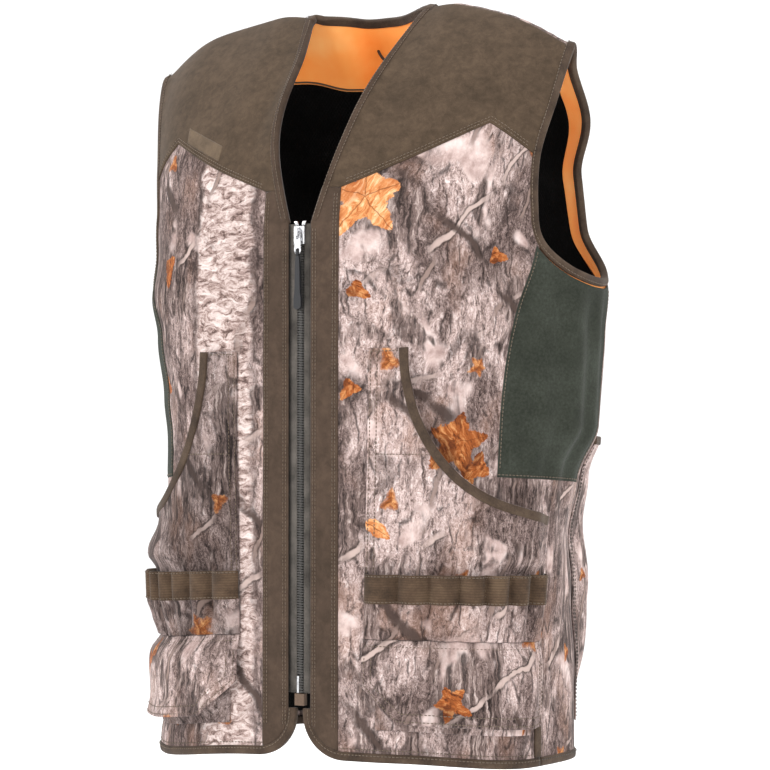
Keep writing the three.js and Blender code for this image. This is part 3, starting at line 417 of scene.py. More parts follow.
def flat_mesh(outline, spacing):
    """Triangles that fill a closed outline of (bearing, rise): flat points, faces, distance to the edge."""
    line = np.array([[b * MM_PER_DEGREE, r] for b, r in outline])
    keep = [0]
    for i in range(1, len(line)):
        if np.hypot(*(line[i] - line[keep[-1]])) > 0.8:
            keep.append(i)
    if np.hypot(*(line[keep[-1]] - line[0])) < 0.8:
        keep.pop()
    line = line[keep]
    dense = []
    for i in range(len(line)):
        a, b = line[i], line[(i + 1) % len(line)]
        n = max(1, int(np.ceil(np.hypot(*(b - a)) / spacing)))
        dense += [mix(a, b, k / n) for k in range(n)]
    line = np.array(dense)
    low, high = line.min(0), line.max(0)
    gx, gy = np.meshgrid(np.arange(low[0], high[0] + spacing, spacing),
                         np.arange(low[1], high[1] + spacing, spacing))
    gx = gx + (np.arange(gx.shape[0]) % 2)[:, None] * spacing / 2
    grid = np.stack([gx.ravel(), gy.ravel()], 1)
    rows = []
    tangent = np.roll(line, -1, axis=0) - np.roll(line, 1, axis=0)
    tangent /= np.maximum(np.hypot(*tangent.T), 1e-9)[:, None]
    side = np.stack([-tangent[:, 1], tangent[:, 0]], 1)
    for off in (0.7, 2.0):
        for sign in (1, -1):
            ring = line + side * off * sign
            ok = inside(line, ring) & (distance_to(line, ring) > off * 0.92)
            rows.append(ring[ok])
    grid = grid[inside(line, grid)]
    grid = grid[distance_to(line, grid) > 2.0 + spacing * 0.55]
    pts = np.concatenate([line, *rows, grid])
    edges = [(i, (i + 1) % len(line)) for i in range(len(line))]
    verts, _, faces, *_ = delaunay_2d_cdt([Vector(p) for p in pts], edges, [], 1, 1e-4)
    flat = np.array([[v.x, v.y] for v in verts])
    return flat, [tuple(f) for f in faces], distance_to(line, flat)


def spans(pts, tri):
    """The cross product of two sides of each triangle."""
    return np.cross(pts[tri[:, 1]] - pts[tri[:, 0]], pts[tri[:, 2]] - pts[tri[:, 0]])


def cloth(name, outline, base=0.0, thick=SHELL, spacing=5.0, pucker=0.35, lift=None, roll=1.6):
    """A piece of cloth with rolled edges; lift(b, r, edge) adds to its height in mm."""
    pts, faces, edge = flat_mesh(outline, spacing)
    b, r = pts[:, 0] / MM_PER_DEGREE, pts[:, 1]
    k = np.clip(edge / roll, 0, 1)
    round_edge = np.sqrt(np.clip(1 - (1 - k) ** 2, 0, 1))
    low = np.zeros(len(b)) + base
    if lift is not None:
        low = low + lift(b, r, edge)
    if pucker:
        p = surface(b, np.minimum(r, 700.0))
        low = low + pucker * np.exp(-edge / 7) * smooth(edge / 2.5) * lattice_noise(p / 9.0, 11)
    top = point(b, r, low + thick * (0.45 + 0.55 * round_edge))
    under = point(b, r, low)
    rim = edge < 1e-3
    number = np.full(len(b), -1)
    inner = np.flatnonzero(~rim)
    number[inner] = len(b) + np.arange(len(inner))
    number[rim] = np.flatnonzero(rim)
    verts = np.concatenate([top, under[inner]])
    upward = [f if np.cross(pts[f[1]] - pts[f[0]], pts[f[2]] - pts[f[0]]) > 0 else f[::-1] for f in faces]
    shell = upward + [tuple(number[i] for i in f[::-1]) for f in upward]
    shell = [f for f in shell if len(set(f)) == 3]
    uv = np.concatenate([pts, pts[inner]]) * LIN
    obj = new_object(name, verts, shell, uv)
    tri = np.array(upward)
    area = float(np.linalg.norm(spans(surface(b, r) * LIN, tri), axis=1).sum() / 2)
    drawn = float(np.abs(spans(pts, tri)).sum() / 2)
    size = math.sqrt(area / drawn)
    obj["cut"] = [float(np.ptp(pts[:, 0])) * size, float(np.ptp(pts[:, 1])) * size, area]
    return obj


def tube_faces(rows, around, closed=False, first=0):
    """Faces of a tube of rings whose corners are numbered ring by ring from first."""
    faces = []
    for i in range(rows if closed else rows - 1):
        j = (i + 1) % rows
        for k in range(around):
            m = (k + 1) % around
            faces.append((i * around + k, i * around + m, j * around + m, j * around + k))
    if not closed:
        faces += [tuple(range(around))[::-1], tuple((rows - 1) * around + k for k in range(around))]
    return [tuple(first + corner for corner in face) for face in faces]


def binding(name, line, near, far, low=-4.2, high=2.9, closed=False, step=3.0, wave=0.0, lift=None):
    """A tape folded over an edge: a rounded section swept along the line. near and far are mm
    to the left of the direction of travel, and lift(b, r) is the height of what it edges."""
    b = np.array([p[0] for p in line])
    r = np.array([p[1] for p in line])
    base = point(b, r, 0.0 if lift is None else lift(b, r))
    n = normals(b, r)
    d = np.r_[0, np.cumsum(np.linalg.norm(np.diff(base, axis=0), axis=1))]
    count = max(3, int(round(d[-1] / (step * LIN))) + 1)
    at = np.linspace(0, d[-1], count)
    c = np.stack([np.interp(at, d, base[:, k]) for k in range(3)], 1)
    n = np.stack([np.interp(at, d, n[:, k]) for k in range(3)], 1)
    n /= np.linalg.norm(n, axis=1)[:, None]
    if closed:
        c, n, at = c[:-1], n[:-1], at[:-1]
    before, after = np.roll(c, 1, axis=0), np.roll(c, -1, axis=0)
    if not closed:
        before[0], after[-1] = c[0], c[-1]
    along = after - before
    along /= np.linalg.norm(along, axis=1)[:, None]
    across = np.cross(n, along)
    across /= np.linalg.norm(across, axis=1)[:, None]
    middle, half = (near + far) / 2, abs(far - near) / 2
    level, tall = (low + high) / 2, (high - low) / 2
    section, around = [], 18
    for k in range(around):
        t = 2 * math.pi * k / around
        x, y = math.cos(t), math.sin(t)
        section.append((math.copysign(abs(x) ** 0.5, x) * half, math.copysign(abs(y) ** 0.45, y) * tall))
    ripple = 1 + wave * np.sin(at / LIN * 2 * math.pi / 23.0)
    rings = [c + across * (middle + s * ripple)[:, None] * LIN + n * (level + h) * LIN for s, h in section]
    verts = np.stack(rings, 1).reshape(-1, 3)
    uv = [(a, section[k][0] * LIN) for a in at for k in range(around)]
    obj = new_object(name, verts, tube_faces(len(c), around, closed), uv)
    recalculate(obj)
    return obj


def recalculate(obj):
    """Turns every face of a closed mesh outwards."""
    bm = bmesh.new()
    bm.from_mesh(obj.data)
    bmesh.ops.recalc_face_normals(bm, faces=bm.faces)
    bm.to_mesh(obj.data)
    bm.free()


STITCHES = {}


def stitch(group, line, w, pitch=3.6, length=2.5, width=0.42):
    """Lockstitches along (bearing, rise) stations this far outside the surface."""
    b = np.array([p[0] for p in line])
    r = np.array([p[1] for p in line])
    height = w(b, r) if callable(w) else w
    path = point(b, r, height)
    n = normals(b, r)
    d = np.r_[0, np.cumsum(np.linalg.norm(np.diff(path, axis=0), axis=1))]
    starts = np.arange(0.5 * LIN, d[-1] - length * LIN, pitch * LIN)
    for s in starts:
        ends = np.array([np.interp([s, s + length * LIN], d, path[:, k]) for k in range(3)]).T
        up = np.array([np.interp(s, d, n[:, k]) for k in range(3)])
        STITCHES.setdefault(group, []).append((ends[0], ends[1], up, width * LIN))


def make_stitches(group):
    """Every stitch of a group as one mesh of small tapered threads."""
    verts, faces = [], []
    for a, b, up, w in STITCHES[group]:
        along = b - a
        side = np.cross(up, along)
        side /= np.linalg.norm(side) + 1e-12
        first = len(verts)
        for k, size, rise in ((0.0, 0.45, 0.0), (0.25, 1.0, 0.7), (0.75, 1.0, 0.7), (1.0, 0.45, 0.0)):
            c = a + along * k + up * w * rise
            verts += [c + side * w * size, c + up * w * size, c - side * w * size, c - up * w * size]
        faces += tube_faces(4, 4, first=first)
    obj = new_object(f"stitches_{group}", verts, faces)
    recalculate(obj)
    return obj


# ---------------------------------------------------------------- materials
def linear(hex_code):
    out = []
    for i in (0, 2, 4):
        v = int(hex_code[i:i + 2], 16) / 255
        out.append(((v + 0.055) / 1.055) ** 2.4 if v > 0.04045 else v / 12.92)
    return (*out, 1.0)


class Shader:
    def __init__(self, name, roughness=0.85, metallic=0.0, sheen=0.0, specular=0.3):
        self.material = bpy.data.materials.new(name)
        self.material.use_nodes = True
        self.tree = self.material.node_tree
        self.bsdf = self.tree.nodes["Principled BSDF"]
        self.bsdf.inputs["Roughness"].default_value = roughness
        self.bsdf.inputs["Metallic"].default_value = metallic
        self.bsdf.inputs["Specular IOR Level"].default_value = specular
        if sheen:
            self.bsdf.inputs["Sheen Weight"].default_value = sheen
            self.bsdf.inputs["Sheen Roughness"].default_value = 0.4

    def node(self, kind, inputs=(), **settings):
        n = self.tree.nodes.new("ShaderNode" + kind)
        for key, value in settings.items():
            setattr(n, key, value)
        for key, value in dict(inputs).items():
            self.put(n.inputs[key], value)
        return n

    def put(self, socket, value):
        if isinstance(value, bpy.types.NodeSocket):
            self.tree.links.new(value, socket)
        elif value is not None:
            socket.default_value = value

    def math(self, operation, a, b=None):
        n = self.node("Math", operation=operation)
        for i, v in enumerate((a, b)):
            self.put(n.inputs[i], v)
        return n.outputs[0]

    def times(self, a, b):
        return self.math("MULTIPLY", a, b)

    def plus(self, a, b):
        return self.math("ADD", a, b)

    def minus(self, a, b):
        return self.math("SUBTRACT", a, b)

    def vector(self, operation, a, b=None, scale=None):
        n = self.node("VectorMath", operation=operation)
        self.put(n.inputs[0], a)
        if b is not None:
            self.put(n.inputs[1], b)
        if scale is not None:
            self.put(n.inputs["Scale"], scale)
        return n.outputs["Value"] if operation in ("LENGTH", "DOT_PRODUCT") else n.outputs["Vector"]

    def uv(self):
        return self.node("UVMap", uv_map="cloth").outputs["UV"]

    def object(self):
        return self.node("TexCoord").outputs["Object"]

    def scaled(self, vector, x, y, z=1.0, turn=0.0, move=(0.0, 0.0, 0.0)):
        n = self.node("Mapping", {"Vector": vector})
        n.inputs["Scale"].default_value = (x, y, z)
        n.inputs["Rotation"].default_value = (0, 0, turn)
        n.inputs["Location"].default_value = move
        return n.outputs[0]

    def noise(self, vector, scale, detail=4.0, rough=0.55, distortion=0.0, colour=False):
        n = self.node("TexNoise", {"Vector": vector, "Scale": scale, "Detail": detail, "Roughness": rough,
                                   "Distortion": distortion})
        return n.outputs["Color"] if colour else n.outputs["Fac"]

    def voronoi(self, vector, scale, feature="F1", randomness=1.0, dimensions="2D", output="Distance"):
        n = self.node("TexVoronoi", {"Vector": vector, "Scale": scale, "Randomness": randomness},
                      feature=feature, voronoi_dimensions=dimensions)
        return n if output is None else n.outputs[output]

    def ramp(self, value, stops, interpolation="LINEAR"):
        n = self.node("ValToRGB", {"Fac": value})
        n.color_ramp.interpolation = interpolation
        while len(n.color_ramp.elements) < len(stops):
            n.color_ramp.elements.new(0.5)
        for e, (at, colour) in zip(n.color_ramp.elements, stops):
            e.position = at
            e.color = linear(colour) if isinstance(colour, str) else (colour, colour, colour, 1)
        return n.outputs["Color"]

    def blend(self, factor, a, b, mode="MIX"):
        n = self.node("Mix", data_type="RGBA", blend_type=mode)
        self.put(n.inputs[0], factor)
        for i, v in ((6, a), (7, b)):
            self.put(n.inputs[i], linear(v) if isinstance(v, str) else v)
        return n.outputs[2]

    def step(self, value, low, high):
        n = self.node("MapRange", {"Value": value, "From Min": low, "From Max": high},
                      interpolation_type="SMOOTHSTEP")
        return n.outputs[0]

    def colour(self, value):
        self.put(self.bsdf.inputs["Base Color"], linear(value) if isinstance(value, str) else value)

    def rough(self, value):
        self.put(self.bsdf.inputs["Roughness"], value)

    def bump(self, height, strength, distance=0.0005, after=None):
        n = self.node("Bump", {"Height": height, "Strength": strength, "Distance": distance})
        if after is not None:
            self.put(n.inputs["Normal"], after)
        self.put(self.bsdf.inputs["Normal"], n.outputs[0])
        return n.outputs[0]

    def leaf(self, local, size, lobes, jag):
        """Mask, vein and shade of a leaf with pointed lobes, of this radius (metres), tip along +X."""
        scaled = self.vector("SCALE", local, scale=self.math("DIVIDE", 1.0, size))
        parts = self.node("SeparateXYZ", {"Vector": scaled})
        radius = self.vector("LENGTH", scaled)
        angle = self.math("ARCTAN2", parts.outputs[1], parts.outputs[0])
        swing = self.times(angle, lobes / 2)
        point = self.minus(1.0, self.math("ABSOLUTE", self.math("SINE", swing)))
        lobe = self.math("POWER", point, 0.85)
        # The lobe at the tip is the longest, and those by the stalk are short.
        length = self.plus(0.42, self.times(parts.outputs[0], 0.26))
        edge = self.noise(scaled, 5.5, 4.0, 0.75)
        reach = self.plus(self.times(lobe, length), 0.48)
        reach = self.plus(reach, self.times(self.minus(edge, 0.5), jag))
        inside = self.minus(reach, radius)
        mask = self.step(inside, 0.0, 0.04)
        vein = self.times(self.math("ABSOLUTE", self.math("SINE", swing)), radius)
        vein = self.step(vein, 0.045, 0.0)
        return mask, vein, self.step(inside, 0.0, 0.3)


def camouflage(name, big_leaves=(), trunks=(), seed=0.0, shade=1.0):
    """A print of bark, cracks, twigs and fallen leaves; trunks are (place, half width) of pale stems."""
    s = Shader(name, roughness=0.9, sheen=0.08, specular=0.15)
    uv = s.uv()
    wander = s.vector("SUBTRACT", s.noise(s.scaled(uv, 1, 1, move=(seed, 3.1, 0)), 12.0, 3.0, colour=True),
                      (0.5, 0.5, 0.5))
    jitter = s.vector("SUBTRACT", s.noise(s.scaled(uv, 1, 1, move=(seed, 6.1, 0)), 90.0, 4.0, colour=True),
                      (0.5, 0.5, 0.5))
    bent = s.vector("ADD", uv, s.vector("SCALE", wander, scale=0.016))
    rough = s.vector("ADD", bent, s.vector("SCALE", jitter, scale=0.007))
    tall = s.scaled(rough, 1.0, 0.34, move=(seed * 0.37, seed * 0.21, 0))
    # Bark: ragged plates with dark gaps, over broad light and dark fields.
    zone = s.noise(s.scaled(uv, 1.0, 0.5, move=(seed, 1.7, 0)), 10.0, 4.0, 0.6, 0.8)
    bark = s.noise(tall, 170.0, 10.0, 0.8, 1.2)
    scales = s.noise(s.scaled(rough, 1.0, 0.7), 330.0, 4.0, 0.7, 2.0)
    bark = s.plus(s.times(bark, 0.6), s.times(scales, 0.4))
    pale = s.ramp(bark, [(0.38, "41302e"), (0.46, "94807a"), (0.53, "bfa9a4"), (0.63, "ecdfdb")])
    dusk = s.ramp(bark, [(0.40, "1f1918"), (0.48, "5b4b47"), (0.56, "8d7a75"), (0.67, "c4b1ac")])
    colour = s.blend(s.step(zone, 0.43, 0.57), pale, dusk)
    warm = s.noise(s.scaled(uv, 1.0, 0.7, move=(seed, 12.0, 0)), 16.0, 3.0, 0.5)
    colour = s.blend(s.times(s.step(warm, 0.50, 0.66), 0.30), colour, "9a7460")
    broken = s.noise(bent, 46.0, 4.0, 0.65)
    crack = s.voronoi(s.scaled(rough, 1.0, 0.30, move=(seed, 0, 0)), 70.0, "DISTANCE_TO_EDGE")
    crack_mask = s.times(s.step(crack, 0.12, 0.0), s.step(broken, 0.46, 0.56))
    furrow = s.noise(s.scaled(rough, 1.0, 0.16, move=(seed, 30.0, 0)), 105.0, 5.0, 0.6, 0.8)
    furrow_mask = s.times(s.step(s.math("ABSOLUTE", s.minus(furrow, 0.5)), 0.022, 0.004),
                         s.step(broken, 0.56, 0.46))
    colour = s.blend(s.times(furrow_mask, 0.75), colour, "3a2c29")
    colour = s.blend(s.times(crack_mask, 0.8), colour, "261d1b")
    # Smooth pale patches, and dry grass and shade between the trunks, in thin crossing strokes.
    calm = s.step(s.noise(s.scaled(uv, 1.1, 0.8, move=(seed, 17.0, 0)), 17.0, 2.0, 0.5, 0.4), 0.60, 0.66)
    mist = s.ramp(s.noise(bent, 55.0, 5.0, 0.6), [(0.35, "9d857f"), (0.5, "c3aca6"), (0.65, "dccac5")])
    colour = s.blend(s.times(calm, 0.85), colour, mist)
    patch = s.step(s.noise(s.scaled(uv, 1.2, 0.7, move=(seed, 8.0, 0)), 15.0, 3.0, 0.6, 0.5), 0.53, 0.58)
    grass = s.noise(s.scaled(rough, 1.0, 0.10, turn=0.45), 210.0, 6.0, 0.7)
    reeds = s.noise(s.scaled(rough, 1.0, 0.08, turn=-0.5), 180.0, 6.0, 0.7)
    litter = s.ramp(s.math("MAXIMUM", grass, reeds), [(0.47, "241c1a"), (0.57, "74625d"), (0.70, "d2bfb8")])
    colour = s.blend(s.times(patch, 0.9), colour, litter)
    gloom = s.step(s.noise(s.scaled(uv, 1.0, 0.8, move=(seed, 21.0, 0)), 18.0, 5.0, 0.65, 1.0), 0.57, 0.68)
    colour = s.blend(s.times(gloom, 0.6), colour, "2a211f")
    # Pale stems with short dark marks across them.
    along = s.node("SeparateXYZ", {"Vector": bent})
    for place, half in trunks:
        ragged = s.times(s.minus(s.noise(bent, 42.0, 6.0, 0.7), 0.5), 0.020)
        off = s.plus(s.math("ABSOLUTE", s.minus(along.outputs[0], place)), ragged)
        stem = s.step(off, half, half * 0.75)
        marks = s.noise(s.scaled(rough, 0.45, 1.0, move=(seed, 2.0, 0)), 150.0, 7.0, 0.75, 1.0)
        skin = s.ramp(marks, [(0.38, "4c3a36"), (0.46, "967f78"), (0.54, "c9b6b0"), (0.66, "e6d9d4")])
        colour = s.blend(s.times(stem, 0.9), colour, skin)
        rim = s.times(s.step(off, half * 1.15, half), s.step(off, half * 0.8, half))
        colour = s.blend(s.times(rim, 0.5), colour, "3a2e2b")
    # Twigs with a shadow along one side.
    for turn, scale, tone, offset in ((0.95, 3.1, "c2aca4", 2.0), (-0.75, 2.6, "4b3d38", 7.0),
                                      (0.35, 3.7, "8f7a72", 4.0)):
        lane = s.scaled(rough, 1.0, 1.0, turn=turn, move=(offset + seed, 0, 0))
        band = s.node("TexWave", {"Vector": lane, "Scale": scale, "Distortion": 2.2, "Detail": 3.0,
                                  "Detail Scale": 2.2}).outputs["Fac"]
        gap = s.noise(s.scaled(uv, 1, 1, move=(offset, offset + seed, 0)), 13.0, 3.0)
        twig = s.times(s.step(band, 0.990, 0.998), s.step(gap, 0.50, 0.60))
        under = s.times(s.step(band, 0.970, 0.992), s.step(gap, 0.50, 0.60))
        colour = s.blend(s.times(under, 0.7), colour, "2c2320")
        colour = s.blend(s.times(twig, 0.85), colour, tone)
    # Scattered leaves: one may lie in each cell, turned at random.
    for scale, density, size, lobes, offset in ((8.5, 0.14, 0.020, 5, 0.0), (15.0, 0.10, 0.012, 3, 3.3)):
        lay = s.scaled(uv, 1, 1, move=(offset + seed, offset, 0))
        cell = s.voronoi(lay, scale, output=None)
        local = s.vector("SUBTRACT", lay, cell.outputs["Position"])
        local = s.vector("ADD", local, s.vector("SCALE", jitter, scale=0.006))
        dice = s.node("SeparateColor", {"Color": cell.outputs["Color"]})
        turned = s.node("VectorRotate", {"Vector": local, "Angle": s.times(dice.outputs[0], 6.28)},
                        rotation_type="Z_AXIS").outputs[0]
        mask, vein, lit = s.leaf(turned, s.times(s.plus(dice.outputs[2], 0.6), size), lobes, 0.45)
        there = s.math("LESS_THAN", dice.outputs[1], density)
        mask = s.times(mask, there)
        tone = s.ramp(s.noise(turned, 120.0, 6.0, 0.75),
                      [(0.36, "4a2818"), (0.5, "96552c"), (0.64, "d29a66")])
        tone = s.blend(s.times(vein, 0.7), tone, "4f2a16")
        colour = s.blend(s.times(mask, s.plus(s.times(lit, 0.4), 0.6)), colour, tone)
    for u, v, size, lobes, turn, light in big_leaves:
        local = s.vector("SUBTRACT", s.vector("ADD", uv, s.vector("SCALE", wander, scale=0.010)), (u, v, 0.0))
        local = s.vector("ADD", local, s.vector("SCALE", jitter, scale=0.006))
        turned = s.node("VectorRotate", {"Vector": local, "Angle": turn}, rotation_type="Z_AXIS").outputs[0]
        mask, vein, lit = s.leaf(turned, size, lobes, 0.42)
        deep, mid, top = ("a35a30", "cf8d58", "f0c79c") if light else ("4c2616", "9a5428", "cf9560")
        streaks = s.noise(s.scaled(turned, 0.35, 1.0), 110.0, 6.0, 0.7, 1.5)
        tone = s.ramp(streaks, [(0.37, deep), (0.50, mid), (0.63, top)])
        dim = s.noise(turned, 26.0, 3.0, 0.6)
        tone = s.blend(s.times(s.step(dim, 0.48, 0.62), 0.55), tone, deep)
        tone = s.blend(s.times(vein, 0.75), tone, "5d3016")
        shadow = s.step(s.vector("LENGTH", s.vector("ADD", turned, (0.003, 0.004, 0.0))), size * 1.1,
                        size * 0.5)
        colour = s.blend(s.times(shadow, 0.4), colour, "2c2320")
        colour = s.blend(mask, colour, tone)
    # Painted shade: the whole print is multiplied by shade, giving a darker copy for pieces that lie in
    # shadow.
    if shade != 1.0:
        colour = s.blend(1.0, colour, (shade, shade, shade, 1), "MULTIPLY")
    s.colour(colour)
    nap = s.noise(s.object(), 900.0, 3.0, 0.6)
    s.bump(nap, 0.35, 0.0003)
    return s.material


def suede(name, tone="6b5c4b", dark="574a3c", light="7b6b59"):
    s = Shader(name, roughness=0.95, sheen=0.12, specular=0.1)
    p = s.object()
    cloud = s.noise(p, 26.0, 5.0, 0.62, 0.6)
    mottle = s.noise(p, 130.0, 5.0, 0.7, 0.4)
    both = s.plus(s.times(cloud, 0.45), s.times(mottle, 0.55))
    colour = s.ramp(both, [(0.36, dark), (0.5, tone), (0.64, light)])
    grain = s.noise(p, 1500.0, 2.0, 0.6)
    colour = s.blend(0.25, colour, s.ramp(grain, [(0.3, dark), (0.7, light)]))
    s.colour(colour)
    s.bump(s.plus(s.times(mottle, 0.6), s.times(grain, 0.4)), 0.4, 0.0004)
    return s.material


def ribbed(name, tone, dark, light, across=False, pitch=950.0):
    """Woven binding: fine ribs across its length."""
    s = Shader(name, roughness=0.85, sheen=0.1, specular=0.15)
    p = s.uv()
    x = s.node("SeparateXYZ", {"Vector": p}).outputs[1 if across else 0]
    rib = s.math("SINE", s.times(x, pitch * 2 * math.pi))
    fuzz = s.noise(s.object(), 700.0, 3.0, 0.6)
    cloud = s.noise(s.object(), 45.0, 3.0, 0.6)
    colour = s.ramp(s.plus(s.times(cloud, 0.7), s.times(fuzz, 0.3)),
                    [(0.35, dark), (0.5, tone), (0.65, light)])
    colour = s.blend(s.times(s.step(rib, 0.2, -1.0), 0.45), colour, dark)
    s.colour(colour)
    s.bump(s.plus(s.times(rib, 0.5), s.times(fuzz, 0.6)), 0.5, 0.0004)
    return s.material


def knitted(name, tone, dark, light, pitch=900.0, holes=0.0, roughness=0.97, sheen=0.06):
    """Brushed or open knit with fine wales."""
    s = Shader(name, roughness=roughness, sheen=sheen, specular=0.1)
    p = s.uv()
    parts = s.node("SeparateXYZ", {"Vector": p})
    wale = s.math("SINE", s.times(parts.outputs[0], pitch * 2 * math.pi))
    course = s.math("SINE", s.times(parts.outputs[1], pitch * 1.3 * math.pi))
    weave = s.times(wale, course)
    fuzz = s.noise(s.object(), 420.0, 5.0, 0.65)
    cloud = s.noise(s.object(), 22.0, 3.0, 0.55)
    colour = s.ramp(s.plus(s.times(cloud, 0.5), s.times(fuzz, 0.5)),
                    [(0.36, dark), (0.5, tone), (0.64, light)])
    colour = s.blend(s.times(s.step(weave, 0.3, -0.8), 0.35 + holes), colour, dark)
    s.colour(colour)
    s.bump(s.plus(s.times(weave, 0.5), fuzz), 0.45, 0.0004)
    return s.material


def orange_facing(name):
    s = Shader(name, roughness=0.7, sheen=0.35, specular=0.3)
    p = s.uv()
    parts = s.node("SeparateXYZ", {"Vector": p})
    weave = s.times(s.math("SINE", s.times(parts.outputs[0], 5200.0)),
                   s.math("SINE", s.times(parts.outputs[1], 5200.0)))
    cloud = s.noise(s.object(), 18.0, 3.0, 0.5)
    colour = s.ramp(cloud, [(0.3, "f88a36"), (0.5, "ff9e4c"), (0.72, "ffb468")])
    s.colour(colour)
    # Painted light: the facing glows in its own orange, so it looks brighter than the lamps make it.
    s.put(s.bsdf.inputs["Emission Color"], colour)
    s.bsdf.inputs["Emission Strength"].default_value = 0.30
    s.bump(weave, 0.3, 0.0003)
    return s.material


def metal(name, tone, roughness, worn="8d8d8d"):
    s = Shader(name, roughness=roughness, metallic=1.0, specular=0.5)
    scratch = s.noise(s.scaled(s.object(), 1, 1, 0.15), 900.0, 5.0, 0.7)
    s.colour(s.ramp(scratch, [(0.35, worn), (0.6, tone)]))
    s.rough(s.plus(s.times(scratch, 0.25), roughness - 0.1))
    s.bump(scratch, 0.12, 0.0002)
    return s.material


def plastic(name, tone, light, roughness=0.5):
    s = Shader(name, roughness=roughness, specular=0.45)
    speck = s.noise(s.object(), 1100.0, 4.0, 0.6)
    s.colour(s.ramp(speck, [(0.35, tone), (0.7, light)]))
    s.bump(speck, 0.15, 0.0002)
    return s.material


def thread(name, tone, dark):
    s = Shader(name, roughness=0.7, sheen=0.3, specular=0.3)
    twist = s.noise(s.object(), 2500.0, 2.0, 0.5)
    s.colour(s.ramp(twist, [(0.35, dark), (0.65, tone)]))
    s.bump(twist, 0.3, 0.0002)
    return s.material


K = MM_PER_DEGREE * LIN            # uv metres per degree of bearing
# Leaves: place (u, v), radius, lobes, turn, and whether the leaf is a light one.
LEFT_LEAVES = (
    (15.0 * K, 0.524, 0.044, 5, 2.2, True), (13.3 * K, 0.437, 0.013, 3, 0.6, False),
    (39.0 * K, 0.294, 0.038, 5, 1.1, False), (50.0 * K, 0.465, 0.013, 3, 0.2, False),
    (12.0 * K, 0.343, 0.013, 3, 2.2, False), (18.5 * K, 0.215, 0.014, 2, 0.5, True),
    (46.0 * K, 0.272, 0.018, 3, 2.6, False),
)
RIGHT_LEAVES = (
    (-45.0 * K, 0.468, 0.020, 3, 1.4, False), (-52.0 * K, 0.350, 0.014, 3, 0.3, False),
)
LOW_LEAVES = ((40.0 * K, 0.060, 0.022, 5, 0.5, False), (-60.0 * K, 0.09, 0.014, 3, 2.1, False))
RIGHT_STEMS = ((-21.0 * K, 0.036),)

LOOKS = {
    "camo_left": camouflage("camouflage_left", LEFT_LEAVES, seed=0.0),
    "camo_right": camouflage("camouflage_right", RIGHT_LEAVES, RIGHT_STEMS, seed=4.3),
    "camo_back": camouflage("camouflage_back", (), seed=9.1),
    "camo_pocket_left": camouflage("camouflage_pocket_left", LEFT_LEAVES, seed=2.2),
    # The wearer's right pocket, bag and cartridge tubes get painted shade: their print is darkened to 0.62.
    "camo_pocket_right": camouflage("camouflage_pocket_right_painted_shade", RIGHT_LEAVES, seed=15.2, shade=0.62),
    "camo_flap": camouflage("camouflage_flap", LOW_LEAVES, seed=6.4),
    "suede": suede("suede_cloth", "4a3d31", "3a3026", "594a3c"),
    "suede_band": suede("suede_placket", "463930", "382e26", "54453a"),
    "binding": ribbed("ribbed_binding", "4b3d32", "352b24", "5b4c3f"),
    "elastic": ribbed("ribbed_elastic", "503f31", "392d23", "604e3d", across=True, pitch=420.0),
    "fleece": knitted("brushed_knit", "363932", "2a2d27", "434740"),
    # Painted shade: the mesh lining is near black, standing in for the deep shadow inside the vest.
    "mesh": knitted("black_lining_painted_shade", "0d0d0d", "030303", "191919", pitch=330.0, holes=0.5, sheen=0.0),
    "orange": orange_facing("blaze_orange_painted_glow"),
    "tape": ribbed("zip_tape_weave", "55504b", "3b3733", "67615b", across=True, pitch=800.0),
    "teeth": plastic("zip_teeth", "2c2a28", "4a4744", 0.4),
    "silver": metal("silver_metal", "e4e4e6", 0.26, "a9a9ac"),
    "brown_metal": plastic("brown_enamel", "4e3c2e", "67513f", 0.45),
    "rubber": plastic("black_rubber", "101012", "222226", 0.55),
    "thread": thread("brown_thread", "74624f", "4d4033"),
    "thread_dark": thread("dark_thread", "4b4036", "2f2822"),
    "label": knitted("label_weave", "1c1c1c", "101010", "2a2a2a", pitch=1200.0),
    "tab": suede("tab_cloth", "5d4f41", "4b3f33", "6b5b4a"),
}


def dress(obj, look, body=None, replaces=(), blend=None, sheet=None, strip=None):
    """Gives a piece its material in a slot, hides the CAD nodes it stands for, and puts it on its body, or
    with blend fixes it where it is.
    """
    obj.data.materials.clear()
    obj.data.materials.append(LOOKS[look])
    if replaces:
        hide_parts(*replaces)
    if blend:
        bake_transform(obj)
    else:
        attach(obj, body)
    if sheet:
        width, tall, area = obj["cut"]
        if strip:
            width, tall = strip, area / strip
    return obj


# Yokes, side panels and armhole edges are fixed where they are, between the back behind the shoulder
# and the front ahead of it; these two places, in metres, are passed with them.
TURN_START, TURN_END = (0.0, -0.005, 0.0), (0.0, -0.065, 0.0)
SEAM_BEND = 0.016                  # metres from the seam to the place given just ahead of it


def turning(side):
    return ("root", f"front_{side}", TURN_START, TURN_END)


def hinged(side):
    """Cloth sewn to the back along the side seam: the seam and a place just ahead of it."""
    joint = next(j for j in frame["record"]["behaviour"]["joints"] if j["name"] == f"front_{side}_swing")
    seam = np.array([0.0, *joint["pos_m"][1:]])
    ahead = seam + SEAM_BEND * np.array([0.0, -1.0, abs(joint["axis"][1])])
    return ("root", f"front_{side}", tuple(map(float, seam)), tuple(map(float, ahead)))


